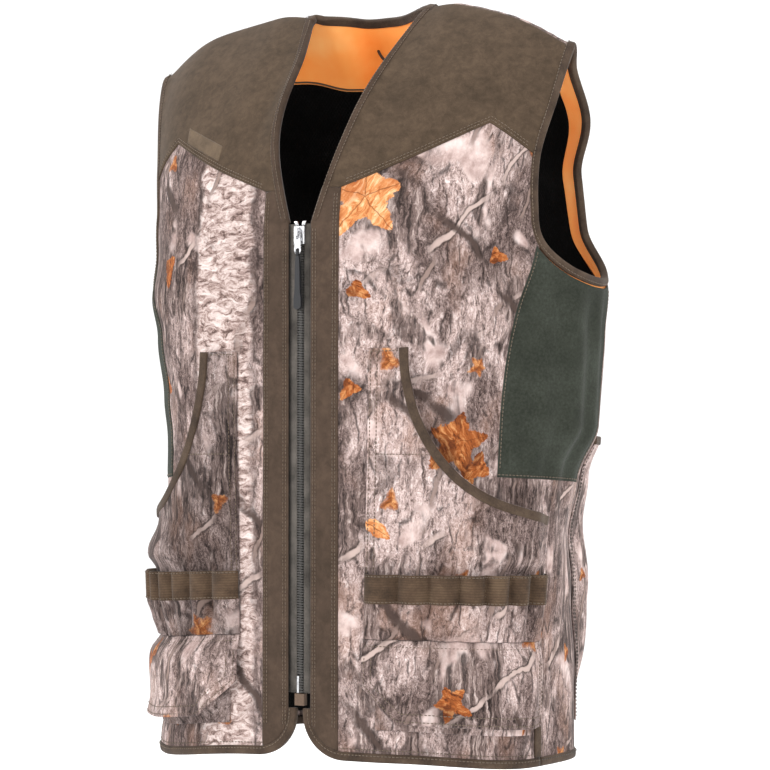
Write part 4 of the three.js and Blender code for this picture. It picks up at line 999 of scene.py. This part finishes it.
# ---------------------------------------------------------------- the back
def back_outline(grow=3.0):
    step = straight((SIDE_SEAM, SIDE_FOOT + 1), (SIDE_BACK + 1.0, SIDE_FOOT - 2))
    seam = moved(BACK_SEAM, -1.0, 0)
    arm = beside(ARM_BACK, grow)
    side = joined(straight((SIDE_SEAM, 4), (SIDE_SEAM, SIDE_FOOT + 1)), step[1:], seam[2:], arm)
    shoulder = [(b, ridge_rise(b) + SEAM_FORWARD) for b in np.linspace(118, 180 - NECK_SIDE, 30)]
    half = joined(side, shoulder, moved(NAPE_HALF, 0, 2))
    return joined(half, mirrored(half)[::-1])


back = cloth("back_panel_cloth", back_outline(), spacing=6.0)
dress(back, "camo_back", "root", ["back_panel"], sheet="hung")

POUCH_EDGE, POUCH_TOP, POUCH_BOTTOM, POUCH_PUFF = 106.0, 292.0, 34.0, 20.0


def pouch_height(b, r):
    u = (b - POUCH_EDGE) / (360 - 2 * POUCH_EDGE)
    v = (r - POUCH_BOTTOM) / (POUCH_TOP - POUCH_BOTTOM)
    across = smooth(np.minimum(u, 1 - u) / 0.10)
    up = smooth(v / 0.42) * mix(1, 0.5, smooth((v - 0.6) / 0.4))
    return POUCH_PUFF * across * up


def pouch_lift(b, r, edge):
    p = surface(b, r)
    sag = lattice_noise(p / np.array([70.0, 70.0, 45.0]) + 3, 21)
    return pouch_height(b, r) + 2.2 * sag * smooth(edge / 40)


pouch = cloth("game_pouch_cloth", box_outline(POUCH_EDGE, 360 - POUCH_EDGE, POUCH_BOTTOM, POUCH_TOP + 3),
              base=1.6, thick=1.5, spacing=6.0, lift=pouch_lift)
dress(pouch, "camo_back", "root", ["game_pouch"], sheet="hung")
pouch_edge = binding("pouch_binding_tape", straight((POUCH_EDGE, POUCH_TOP), (360 - POUCH_EDGE, POUCH_TOP)),
                     0.3, 8.6,
                     low=1.2, high=4.9, wave=0.01, lift=pouch_height)
dress(pouch_edge, "binding", "root", ["pouch_binding"])

hem_line = straight((SIDE_SEAM + 0.5, BINDING_WIDTH), (359.5 - SIDE_SEAM, BINDING_WIDTH))
dress(binding("back_hem_tape", hem_line, 0.6, -8.0), "binding", "root", ["back_hem_binding"])
dress(binding("neck_tape", NAPE, -1.0, 8.0), "binding", "root", ["neck_binding"])
stitch("root", beside(hem_line, -1.6), 3.0)
stitch("root", moved(NAPE, 0, 2.2), 3.0)
stitch("root", moved(NAPE, 0, -4.5), SHELL + 0.2)
for inset in (4.0, 10.0):
    rises = np.linspace(POUCH_TOP - 2, POUCH_BOTTOM + inset, 60)
    edge_line = [(POUCH_EDGE + inset / MM_PER_DEGREE, r) for r in rises]
    foot_line = straight(edge_line[-1], (360 - edge_line[-1][0], POUCH_BOTTOM + inset))
    path = joined(edge_line, foot_line, mirrored(edge_line)[::-1])
    stitch("root", path, lambda b, r: 3.2 + pouch_lift(b, r, np.full(len(b), 4.0)))

# ---------------------------------------------------------------- inside of the back
FACING_FOOT = 662.0
neck_facing = cloth("neck_facing_cloth", joined(
    straight((124.0, FACING_FOOT - 2), (236.0, FACING_FOOT - 2)),
    straight((236.0, FACING_FOOT - 2), (360 - 120.5, 678)),
    [(b, ridge_rise(b) + 2) for b in np.linspace(360 - 120.5, 180 + NECK_SIDE, 26)],
    moved(mirrored(NAPE_HALF), 0, 2),
    moved(NAPE_HALF, 0, 2)[::-1],
    [(b, ridge_rise(b) + 2) for b in np.linspace(180 - NECK_SIDE, 120.5, 26)],
    straight((120.5, 678), (124.0, FACING_FOOT - 2)),
), base=-2.4, thick=1.0, spacing=6.0)
dress(neck_facing, "orange", "root", ["neck_facing"], sheet="stretched")
dress(binding("facing_edge_tape", straight((125.0, FACING_FOOT), (235.0, FACING_FOOT)), -1.0, 1.0, low=-3.1,
              high=-1.9),
      "thread", "root")

back_inner = joined(
    straight((SIDE_SEAM + 1.4, 14), (SIDE_SEAM + 1.4, 400)),
    curved([(SIDE_SEAM + 1.4, 400), (98, 412), (118, 448), (130, 545), (131, 660)]),
)
# The lining's near-black mesh colour is painted shade for the dark inside of the back.
back_lining = cloth("back_lining_mesh",
                    joined(back_inner, straight((131, 660), (229, 660)), mirrored(back_inner)[::-1]),
                    base=-3.6, thick=0.9, spacing=9.0)
dress(back_lining, "mesh", "root", ["back_lining"], sheet="stretched")
label = cloth("size_label_cloth", box_outline(176.6, 183.4, 622, 650), base=-6.2, thick=0.7, spacing=4.0,
              pucker=0)
dress(label, "label", "root", ["size_label"])


def tube(name, path, radius, sides=8):
    """A closed tube along world points."""
    path = np.asarray(path, float)
    along = np.gradient(path, axis=0)
    along /= np.linalg.norm(along, axis=1)[:, None]
    ref = np.array([0.0, -1.0, 0.0])
    side = np.cross(along, ref)
    side /= np.linalg.norm(side, axis=1)[:, None] + 1e-12
    up = np.cross(side, along)
    verts = []
    for p, s, u in zip(path, side, up):
        for k in range(sides):
            t = 2 * math.pi * k / sides
            verts.append(p + s * math.cos(t) * radius + u * math.sin(t) * radius)
    obj = new_object(name, verts, tube_faces(len(path), sides), [(p[0] + p[2], p[1]) for p in verts])
    recalculate(obj)
    return obj


low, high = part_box("hanger_loop")
k = np.linspace(0, 1, 25)
loop = np.stack([mix(low[0] + 0.002, high[0] - 0.002, k), high[1] - 0.002 - 0.006 * np.sin(math.pi * k),
                 high[2] - (high[2] - low[2] - 0.002) * np.sin(math.pi * k) ** 0.7], 1)
dress(tube("hanger_loop_cord", loop, 0.0016), "binding", "root", ["hanger_loop"])


# ---------------------------------------------------------------- one side: the wearer's left is 1
def signed(line, side):
    return [(side * b, r) for b, r in line]


POCKET_INNER_X, POCKET_TOP, POCKET_OUTER, POCKET_MOUTH_END, POCKET_PUFF = 66.0, 381.0, 75.0, 226.0, 8.0
BAND_TOP, BAND_HEIGHT, TUBE_HEIGHT, LOOPS, LOOP_BULGE = 173.0, 27.0, 33.0, 7, 11.0
FLAP_TOP, FLAP_LENGTH, FLAP_CHAMFER, STAND_OFF = 109.0, 71.0, 32.0, 16.0
BAG_BOTTOM, BAG_INSET, BAG_DIP = 30.0, 12.0, 30.0
INNER = bearing_at_x(POCKET_INNER_X, 150)
MOUTH = curved([(bearing_at_x(109, 381), 381), (bearing_at_x(111, 354), 354), (bearing_at_x(121, 316), 316),
                (bearing_at_x(138, 283), 283), (bearing_at_x(157, 260), 260), (bearing_at_x(178, 244), 244),
                (62, 234), (POCKET_OUTER, POCKET_MOUTH_END)])


def loop_wave(b):
    u = (b - INNER) / (POCKET_OUTER - INNER)
    return np.abs(np.sin(np.pi * u * LOOPS)) ** 0.7


def pocket_top(b):
    """The rise of the pocket's upper edge at a bearing."""
    bs = np.array([p[0] for p in MOUTH])
    rs = np.array([p[1] for p in MOUTH])
    return np.where(b < bs[0], POCKET_TOP, np.interp(b, bs, rs))


def pocket_height(b, r):
    b = np.abs(b)
    u = (b - INNER) / (POCKET_OUTER - INNER)
    v = (r - BAND_TOP) / (pocket_top(b) - BAND_TOP)
    return POCKET_PUFF * smooth(u / 0.25) * smooth((1 - u) / 0.15) * smooth(v / 0.25)


def flap_height(b, r):
    """How far a flap stands off the front."""
    u = (np.abs(b) - INNER) / (POCKET_OUTER - 0.5 - INNER)
    below = np.clip(FLAP_TOP - r, 0, None)
    ends = mix(0.3, 1.0, smooth(np.minimum(u, 1 - u) / 0.16))
    return STAND_OFF * (1 - np.exp(-below / 9.0)) * ends


def bag_height(b, r):
    inset = BAG_INSET / MM_PER_DEGREE
    u = (np.abs(b) - INNER - inset) / (POCKET_OUTER - 0.5 - INNER - 2 * inset)
    mouth = FLAP_TOP - 9 - BAG_DIP * (2 * u - 1) ** 2
    v = (r - BAG_BOTTOM) / (mouth - BAG_BOTTOM)
    full = smooth(v / 0.35) * mix(1, 0.55, smooth((v - 0.6) / 0.4))
    return (STAND_OFF - 3.4) * smooth(np.minimum(u, 1 - u) / 0.2) * full


def crease(seed, amount, size=(26.0, 26.0, 18.0)):
    """Small folds of a pocket, none at its seams."""
    def lift(b, r, edge):
        p = surface(b, np.minimum(r, 700.0))
        return amount * lattice_noise(p / np.array(size) + seed, seed) * smooth(edge / 14)
    return lift


def add_lifts(*lifts):
    return lambda b, r, edge: sum(f(b, r, edge) for f in lifts)


def plain(height):
    return lambda b, r, edge: height(b, r)


for side, name in ((1, "left"), (-1, "right")):
    front = f"front_{name}"

    def make(piece, outline, **settings):
        return cloth(f"{piece}_{name}", signed(outline, side), **settings)

    def edge_tape(piece, line, near, far, **settings):
        return binding(f"{piece}_{name}", signed(line, side), near * side, far * side, **settings)

    def sew(line, w, group=front, **settings):
        stitch(group, signed(line, side), w, **settings)

    # The shell of the front runs a little under the yoke, the placket and the side panel.
    inner_x = 36.0
    hem_start = bearing_at_x(inner_x, 5)
    shell_line = joined(
        straight((hem_start, 5), (SIDE_SEAM, 5)),
        straight((SIDE_SEAM, 5), (SIDE_SEAM, SIDE_FOOT)),
        straight((SIDE_SEAM, SIDE_FOOT + 2), (SIDE_FRONT + 1.4, SIDE_FOOT + 3)),
        moved(FRONT_SEAM, 1.2, 0)[2:],
        moved(ARM_FRONT[::-1], 1.0, 0)[2:],
        moved(YOKE_EDGE[::-1], 0, 4.0),
        at_x(inner_x, 535, 8)[1:],
    )
    dress(make("front_panel_cloth", shell_line, spacing=5.5), f"camo_{name}",
          replaces=[f"front_panel_{name}"], blend=hinged(name), sheet="hung")

    # Placket: lapped over the shell, with its lower corner rounded.
    corner_radius = CORNER_RADIUS - BINDING_WIDTH
    past_centre = PLACKET_OUTER - CENTRE_EDGE + BINDING_WIDTH - CORNER_RADIUS
    corner = corner_curve(corner_radius, math.pi, math.acos(past_centre / corner_radius))
    placket_line = joined(
        corner,
        at_x(PLACKET_OUTER, corner[-1][1], YOKE_INNER_RISE),
        straight(YOKE_INNER, (bearing_at_x(22, 533), 533)),
        at_x(21, 532, 531)[:1],
        part_of(NECK_EDGE, [(bearing_at_x(CENTRE_EDGE, 500), 500), (bearing_at_x(21, 532), 532)], 0, 1)[::-1],
        at_x(CENTRE_EDGE, 498, corner[0][1]),
    )
    dress(make("placket_cloth", placket_line, base=OVERLAY, thick=1.5, spacing=4.0, pucker=0.3),
          "suede_band",
          front, [f"placket_{name}"], sheet="stretched")
    for x in (14.2, 17.0, 34.5, 37.3):
        sew(at_x(x, 30, 494 if x < 20 else 528, 90), OVERLAY + 1.55)

    # Yoke, neck band, side panel.
    ridge = [(b, ridge_rise(b) - SEAM_FORWARD + 6) for b in np.linspace(TIP - 0.4, bearing_at_x(76, 722), 30)]
    under_band = neck_outline(5.5)
    yoke_line = joined(
        YOKE_EDGE,
        moved(ARM_YOKE[::-1], 0.6, 0),
        ridge,
        part_of(under_band, [(bearing_at_x(26.5, 532), 532), under_band[-1]], 0, 1)[::-1],
        straight((bearing_at_x(26.5, 532), 532), YOKE_INNER),
    )
    dress(make("yoke_cloth", yoke_line, base=OVERLAY, thick=1.6, spacing=5.0, pucker=0.25), "suede",
          replaces=[f"shoulder_yoke_{name}"], blend=turning(name), sheet="hung")
    for gap in (2.6, 5.6):
        sew(moved(YOKE_EDGE, 0, gap)[1:-2], OVERLAY + 1.65, group=f"turning_{name}")
    band_line = joined(
        NECK_EDGE,
        [(b, ridge_rise(b) - SEAM_FORWARD + 8) for b in np.linspace(NECK_EDGE[-1][0], NECK_SEAM[-1][0], 4)],
        NECK_SEAM[::-1],
    )
    dress(make("neck_band_cloth", band_line, base=-3.6, thick=6.9, spacing=3.0, pucker=0.1, roll=2.2),
          "suede_band",
          replaces=[f"neck_band_{name}"], blend=turning(name))
    for gap in (1.8, 6.4):
        sew(neck_outline(gap)[1:], 3.35, group=f"turning_{name}")

    side_foot = polygon((SIDE_FRONT, SIDE_FOOT), STEP, (SIDE_BACK, SIDE_FOOT - 6))
    panel_line = joined(
        side_foot, BACK_SEAM, beside(ARM_SIDE, -1.5)[::-1], FRONT_SEAM[::-1],
    )

    dress(make("side_panel_cloth", panel_line, base=OVERLAY - 0.1, thick=1.2, spacing=5.0, pucker=0.6),
          "fleece",
          replaces=[f"side_panel_{name}"], blend=turning(name), sheet="hung")
    sew(moved(FRONT_SEAM, 0.7, 0)[2:-2], OVERLAY + 1.15, group=f"turning_{name}")
    sew(moved(BACK_SEAM, -0.7, 0)[2:-2], OVERLAY + 1.15, group=f"turning_{name}")
    sew(moved(side_foot, 0, 2.4), OVERLAY + 1.15, group=f"turning_{name}")

    # Armhole: binding round the edge, orange facing inside it.
    dress(edge_tape("armhole_tape", ARMHOLE, 0.3, 8.4, closed=True), "binding",
          replaces=[f"armhole_binding_{name}"], blend=turning(name))
    sew(beside(ARMHOLE, 2.0), 3.05, group=f"turning_{name}")
    inward = ARMHOLE[:-2]
    facing_line = joined(beside(inward, 2.0), beside(inward, -34.0)[::-1])
    dress(make("armhole_facing_cloth", facing_line, base=-2.6, thick=1.0, spacing=5.0), "orange",
          replaces=[f"armhole_facing_{name}"], blend=turning(name), sheet="stretched",
          strip=0.036)

    # Hem, with the binding turning up the rounded corner to the zip.
    centre = corner_curve(corner_radius, math.pi, math.pi / 2, 16)
    hem = joined(at_x(CENTRE_EDGE, ZIP_BOTTOM - 14, centre[0][1]), centre,
                 straight(centre[-1], (SIDE_SEAM, BINDING_WIDTH)))
    dress(edge_tape("front_hem_tape", hem, 0.6, -8.0), "binding",
          replaces=[f"front_hem_binding_{name}"], blend=hinged(name))
    sew(beside(hem, -1.7), 3.05)
    sew(beside(hem, 3.5)[3:], SHELL + 0.2)
    dress(edge_tape("vent_tape", straight((SIDE_SEAM - 1.2, 9), (SIDE_SEAM - 1.2, 60)), -4.5, 4.5, low=0.6,
                    high=3.2),
          "binding", replaces=[f"vent_binding_{name}"], blend=hinged(name))

    # The near-black mesh lining is painted shade for the dark inside of the front.
    lining_line = joined(
        at_x(17.5, 16, 505), straight((bearing_at_x(24, 522), 522), (49, 522)),
        straight((49, 522), (51, 262)), straight((51, 252), (76.6, 250)), straight((76.6, 250), (76.6, 16)),
        straight((76.6, 16), (bearing_at_x(47, 16), 16)),
    )[::-1]
    dress(make("front_lining_mesh", lining_line, base=-3.4, thick=0.9, spacing=9.0), "mesh",
          replaces=[f"front_lining_{name}"], blend=hinged(name), sheet="stretched")

    # Hand pocket: a patch with a curved mouth, sewn on in two layers.
    pocket_line = joined(
        polygon((INNER, BAND_TOP - 2), (POCKET_OUTER, BAND_TOP - 2), (POCKET_OUTER, POCKET_MOUTH_END)),
        MOUTH[::-1], polygon(MOUTH[0], (INNER, POCKET_TOP), (INNER, BAND_TOP - 2)),
    )
    pocket_lift = add_lifts(plain(pocket_height), crease(31 + side, 1.8))
    dress(make("hand_pocket_cloth", pocket_line, base=1.9, thick=1.5, spacing=4.5, pucker=0.5,
               lift=pocket_lift),
          f"camo_pocket_{name}", front, [f"hand_pocket_{name}"], sheet="hung")

    def on_pocket(b, r):
        return 3.5 + pocket_lift(b, r, np.full(len(b), 6.0))

    for inset in (2.4, 8.4):
        b_in = INNER + inset / MM_PER_DEGREE
        sew(straight((b_in, BAND_TOP), (b_in, POCKET_TOP - 2)), on_pocket)
    sew(straight((INNER + 0.5, POCKET_TOP - 3), (MOUTH[0][0] - 1, POCKET_TOP - 3)), on_pocket)
    sew(straight((INNER + 2.5, 283), (bearing_at_x(136, 283), 283)), on_pocket, pitch=3.2)
    dress(edge_tape("pocket_tape", MOUTH, -0.3, -9.0, low=1.5, high=5.2, lift=pocket_height), "binding",
          front, [f"pocket_binding_{name}"])

    # Cartridge loops: an elastic band over pleated tubes.
    def band_lift(b, r, edge):
        return LOOP_BULGE * loop_wave(np.abs(b))

    def tube_lift(b, r, edge):
        v = np.clip((r - (BAND_TOP - BAND_HEIGHT - TUBE_HEIGHT)) / TUBE_HEIGHT, 0, 1)
        p = surface(b, r)
        folds = 1.4 * lattice_noise(p / 9.0, 44) * smooth(edge / 6)
        return LOOP_BULGE * loop_wave(np.abs(b)) * mix(0.35, 0.97, v) + folds

    band_foot = BAND_TOP - BAND_HEIGHT
    elastic = make("cartridge_elastic", box_outline(INNER, POCKET_OUTER, band_foot, BAND_TOP), base=2.2,
                   thick=1.6, spacing=2.6, pucker=0.0, lift=band_lift)
    dress(elastic, "elastic", front, [f"cartridge_band_{name}"], sheet="gathered")
    pleats = make("cartridge_pleats",
                  box_outline(INNER, POCKET_OUTER, band_foot - TUBE_HEIGHT, band_foot + 2),
                  base=1.9, thick=1.3, spacing=2.8, pucker=0.0, lift=tube_lift)
    dress(pleats, f"camo_pocket_{name}", front, [f"cartridge_tubes_{name}"],
          sheet="gathered")
    for i in range(LOOPS + 1):
        b_in = mix(INNER + 0.35, POCKET_OUTER - 0.35, i / LOOPS)
        sew(straight((b_in, band_foot + 1), (b_in, BAND_TOP - 1)), 4.4, pitch=2.6, length=2.0)
    for r_in in (BAND_TOP - 1.8, band_foot + 1.8):
        sew(straight((INNER + 0.3, r_in), (POCKET_OUTER - 0.3, r_in), 160),
            lambda b, r: 3.95 + LOOP_BULGE * loop_wave(np.abs(b)))

    # Flap pocket: a bag under a flap with one corner cut off.
    flap_foot = FLAP_TOP - FLAP_LENGTH
    outer = POCKET_OUTER - 0.5
    chamfer = INNER + FLAP_CHAMFER * 1.15 / MM_PER_DEGREE
    flap_line = polygon((INNER, flap_foot + FLAP_CHAMFER), (chamfer, flap_foot), (outer, flap_foot),
                        (outer, FLAP_TOP + 4), (INNER, FLAP_TOP + 4), (INNER, flap_foot + FLAP_CHAMFER))
    flap_lift = add_lifts(plain(flap_height), crease(51 + side, 1.6, (40.0, 40.0, 22.0)))
    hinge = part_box(f"pocket_flap_{name}")
    top = hinge[1][2]
    dress(make("pocket_flap_cloth", flap_line, base=2.9, thick=1.8, spacing=4.0, pucker=0.5, lift=flap_lift),
          "camo_flap", replaces=[f"pocket_flap_{name}"],
          blend=(front, f"flap_{name}", (0, 0, top - 0.001), (0, 0, top - 0.014)), sheet="hung")

    def on_flap(b, r):
        return 4.8 + flap_lift(b, r, np.full(len(b), 8.0))

    for inset in (3.0, 10.0):
        d = inset / MM_PER_DEGREE
        cut = inset * 0.45
        path = polygon((INNER + d, FLAP_TOP - 12), (INNER + d, flap_foot + FLAP_CHAMFER + cut),
                       (chamfer + cut / MM_PER_DEGREE, flap_foot + inset), (outer - d, flap_foot + inset),
                       (outer - d, FLAP_TOP - 12))
        sew(path, on_flap, group=f"flap_{name}")
    sew(straight((INNER + 0.5, FLAP_TOP - 2), (outer - 0.5, FLAP_TOP - 2)), on_flap, group=f"flap_{name}")

    inset = BAG_INSET / MM_PER_DEGREE
    bag_in, bag_out = INNER + inset, outer - inset
    mouth = [(mix(bag_in, bag_out, t), FLAP_TOP - 9 - BAG_DIP * (2 * t - 1) ** 2)
             for t in np.linspace(1, 0, 40)]
    bag_line = joined(polygon((bag_in, BAG_BOTTOM), (bag_out, BAG_BOTTOM), mouth[0]), mouth,
                      straight(mouth[-1], (bag_in, BAG_BOTTOM)))
    bag = make("pocket_bag_cloth", bag_line, base=1.9, thick=1.3, spacing=4.0, pucker=0.6,
               lift=add_lifts(plain(bag_height), crease(61, 1.2)))
    dress(bag, f"camo_pocket_{name}", front, [f"pocket_bag_{name}"], sheet="hung")

# The tab on the wearer's right yoke, left blank.
slope = (YOKE_PEAK_RISE - YOKE_INNER_RISE) / (YOKE_PEAK_X - PLACKET_OUTER)


def tab_corner(x, above):
    r = YOKE_INNER_RISE + slope * (x - PLACKET_OUTER) + above
    return (-bearing_at_x(x, r), r)


tab_line = polygon(*(tab_corner(x, above) for x,
                     above in ((103, 5), (152, 5), (152, 19), (103, 19), (103, 5))))
dress(cloth("yoke_tab_cloth", tab_line, base=2.2, thick=0.9, spacing=3.0, pucker=0.0), "tab",
      replaces=["yoke_tab"], blend=turning("right"))

# ---------------------------------------------------------------- zip
def bevel(obj, width):
    m = obj.modifiers.new("bevel", "BEVEL")
    m.width, m.segments, m.limit_method = width, 2, "ANGLE"


def merged(name, solids):
    verts, faces = [], []
    for v, f in solids:
        first = len(verts)
        verts += v
        faces += [tuple(first + i for i in face) for face in f]
    obj = new_object(name, verts, faces, smooth_shading=False)
    recalculate(obj)
    return obj


TOOTH_PITCH = 0.0024
tape_low, tape_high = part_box("zip_teeth_left")
zip_y = (tape_low[1] + tape_high[1]) / 2


def tooth(x0, x1, z):
    """One moulded tooth: a head that hooks past the centre line and a waist at the tape."""
    deep, tall = 0.0017, 0.00085
    profile = [(0.0, 0.75), (0.25, 1.0), (0.6, 1.0), (0.8, 0.6), (1.0, 0.85)]
    verts = []
    for k, size in profile:
        x, half, reach = mix(x0, x1, k), deep * mix(1, size, 0.5), tall * size
        verts += [(x, zip_y + i * half, z + j * reach) for i, j in ((-1, -1), (-1, 1), (1, 1), (1, -1))]
    return verts, tube_faces(len(profile), 4)


slider_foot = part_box("zip_slider")[0][2]
for side, name in ((1, "left"), (-1, "right")):
    low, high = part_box(f"zip_teeth_{name}")
    teeth = []
    z = low[2] + 0.0012 + (TOOTH_PITCH / 2 if side < 0 else 0)
    while z < high[2] - 0.001:
        # The rows mesh below the slider and part inside it.
        tip = -0.0009 if z < slider_foot - 0.001 else mix(-0.0009, 0.0013,
                                                          min(1.0, (z - slider_foot) / 0.010))
        teeth.append(tooth(side * max(tip, -0.0009), side * 0.0034, z))
        z += TOOTH_PITCH
    row = merged(f"teeth_row_{name}", teeth)
    dress(row, "teeth", f"front_{name}", [f"zip_teeth_{name}"])
    low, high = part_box(f"zip_tape_{name}")
    x_in, x_out = (low[0], high[0]) if side > 0 else (high[0], low[0])
    rows_z = np.linspace(low[2], high[2], 120)
    section = [(x_in, zip_y - 0.0009), (mix(x_in, x_out, 0.12), zip_y - 0.0012),
               (mix(x_in, x_out, 0.2), zip_y - 0.0006),
               (x_out, zip_y - 0.0006), (x_out, zip_y + 0.0006), (x_in, zip_y + 0.0009)]
    corners = [(x, y, z) for z in rows_z for x, y in section]
    web = new_object(f"tape_{name}", corners, tube_faces(len(rows_z), len(section)),
                     [(x, z) for x, _, z in corners])
    recalculate(web)
    dress(web, "tape", f"front_{name}", [f"zip_tape_{name}"])
    # The top stop leans with the edge of the tape.
    low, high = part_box(f"zip_top_stop_{name}")
    inner, outer = (low[0], high[0]) if side > 0 else (high[0], low[0])
    square = ((inner, low[1]), (outer, low[1]), (outer, high[1]), (inner, high[1]))
    corners = [(x + lean, y, z) for z, lean in ((low[2], 0.0), (high[2], side * 0.0016)) for x, y in square]
    stop = new_object(f"stop_{name}", corners,
                      [(0, 1, 2, 3), (4, 7, 6, 5), (0, 4, 5, 1), (1, 5, 6, 2), (2, 6, 7, 3),
                                                (3, 7, 4, 0)])
    recalculate(stop)
    bevel(stop, 0.0005)
    dress(stop, "silver", f"front_{name}", [f"zip_top_stop_{name}"])

for node, look in (("zip_slider", "silver"), ("zip_pull", "silver"), ("zip_grip", "rubber"),
                   ("zip_pin", "silver"),
                   ("zip_box", "brown_metal")):
    cad = bpy.data.objects[node]
    cad.data.materials.clear()
    cad.data.materials.append(LOOKS[look])
    bevel(cad, 0.0004)

for group in list(STITCHES):
    obj = make_stitches(group)
    look = "thread_dark" if group == "root" else "thread"
    if group == "root":
        dress(obj, look, "root")
    elif group.startswith("turning_"):
        dress(obj, look, blend=turning(group.split("_")[1]))
    elif group.startswith("flap_"):
        side_name = group.split("_")[1]
        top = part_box(f"pocket_flap_{side_name}")[1][2]
        dress(obj, look,
              blend=(f"front_{side_name}", group, (0, 0, top - 0.001), (0, 0, top - 0.014)))
    else:
        dress(obj, look, group)

# ---------------------------------------------------------------- stage, light and camera
FLOOR_Z = CAD_BOX[0][2] - 0.30


def stage_plane():
    verts, faces = [], []
    turns = np.linspace(0, math.pi / 2, 24)
    bend = [(3.0 + 2.0 * math.sin(t), 2.0 * (1 - math.cos(t))) for t in turns]
    rows = [(-6.0, 0.0), *bend, (5.0, 7.0)]
    for y, z in rows:
        verts += [(-9.0, y, FLOOR_Z + z), (9.0, y, FLOOR_Z + z)]
    for i in range(len(rows) - 1):
        faces.append((2 * i, 2 * i + 1, 2 * i + 3, 2 * i + 2))
    return new_object("floor", verts, faces)


floor = stage_plane()
s = Shader("pale_floor", roughness=0.9, specular=0.1)
s.colour((0.98, 0.98, 0.98, 1))
s.bsdf.inputs["Emission Color"].default_value = (1, 1, 1, 1)
s.bsdf.inputs["Emission Strength"].default_value = 0.12
floor.data.materials.append(s.material)


def area_light(name, place, target, size, power, colour=(1, 1, 1)):
    data = bpy.data.lights.new(name, "AREA")
    data.shape, data.size, data.energy, data.color = "SQUARE", size, power, colour
    obj = bpy.data.objects.new(name, data)
    bpy.context.scene.collection.objects.link(obj)
    obj.location = place
    obj.rotation_euler = (Vector(target) - Vector(place)).to_track_quat("-Z", "Y").to_euler()
    return obj


area_light("key", (-1.6, -2.4, 1.1), (0, 0, -0.35), 1.6, 62)
area_light("fill", (2.6, -1.8, 0.3), (0, 0, -0.35), 2.2, 40)
area_light("top", (0.2, -0.2, 2.2), (0, 0, -0.3), 2.0, 30)
area_light("back_left", (-1.8, 1.8, 0.6), (0, 0, -0.3), 1.6, 22)
area_light("back_right", (1.8, 1.8, 0.6), (0, 0, -0.3), 1.6, 22)
world = bpy.data.worlds.new("studio")
bpy.context.scene.world = world
world.use_nodes = True
world.node_tree.nodes["Background"].inputs["Color"].default_value = (1, 1, 1, 1)
world.node_tree.nodes["Background"].inputs["Strength"].default_value = 0.75

AZIMUTH, PITCH, DISTANCE, FOCAL_PX = math.radians(26.74), math.radians(-1.64), 2.031, 2043.0
TARGET = Vector((0.0, -0.005, 0.3474 - NECK_HEIGHT * LIN))
camera_data = bpy.data.cameras.new("camera")
camera_data.sensor_width = 36.0
camera_data.lens = FOCAL_PX / 770 * 36.0
camera_data.shift_x, camera_data.shift_y = 22.2 / 770, 3.7 / 770
camera_data.clip_end = 60
camera = bpy.data.objects.new("camera", camera_data)
bpy.context.scene.collection.objects.link(camera)
away = Vector((math.sin(AZIMUTH) * math.cos(PITCH), -math.cos(AZIMUTH) * math.cos(PITCH), math.sin(PITCH)))
camera.location = TARGET + away * DISTANCE
camera.rotation_euler = (-away).to_track_quat("-Z", "Y").to_euler()
bpy.context.scene.camera = camera
bpy.context.scene.view_settings.view_transform = "Standard"
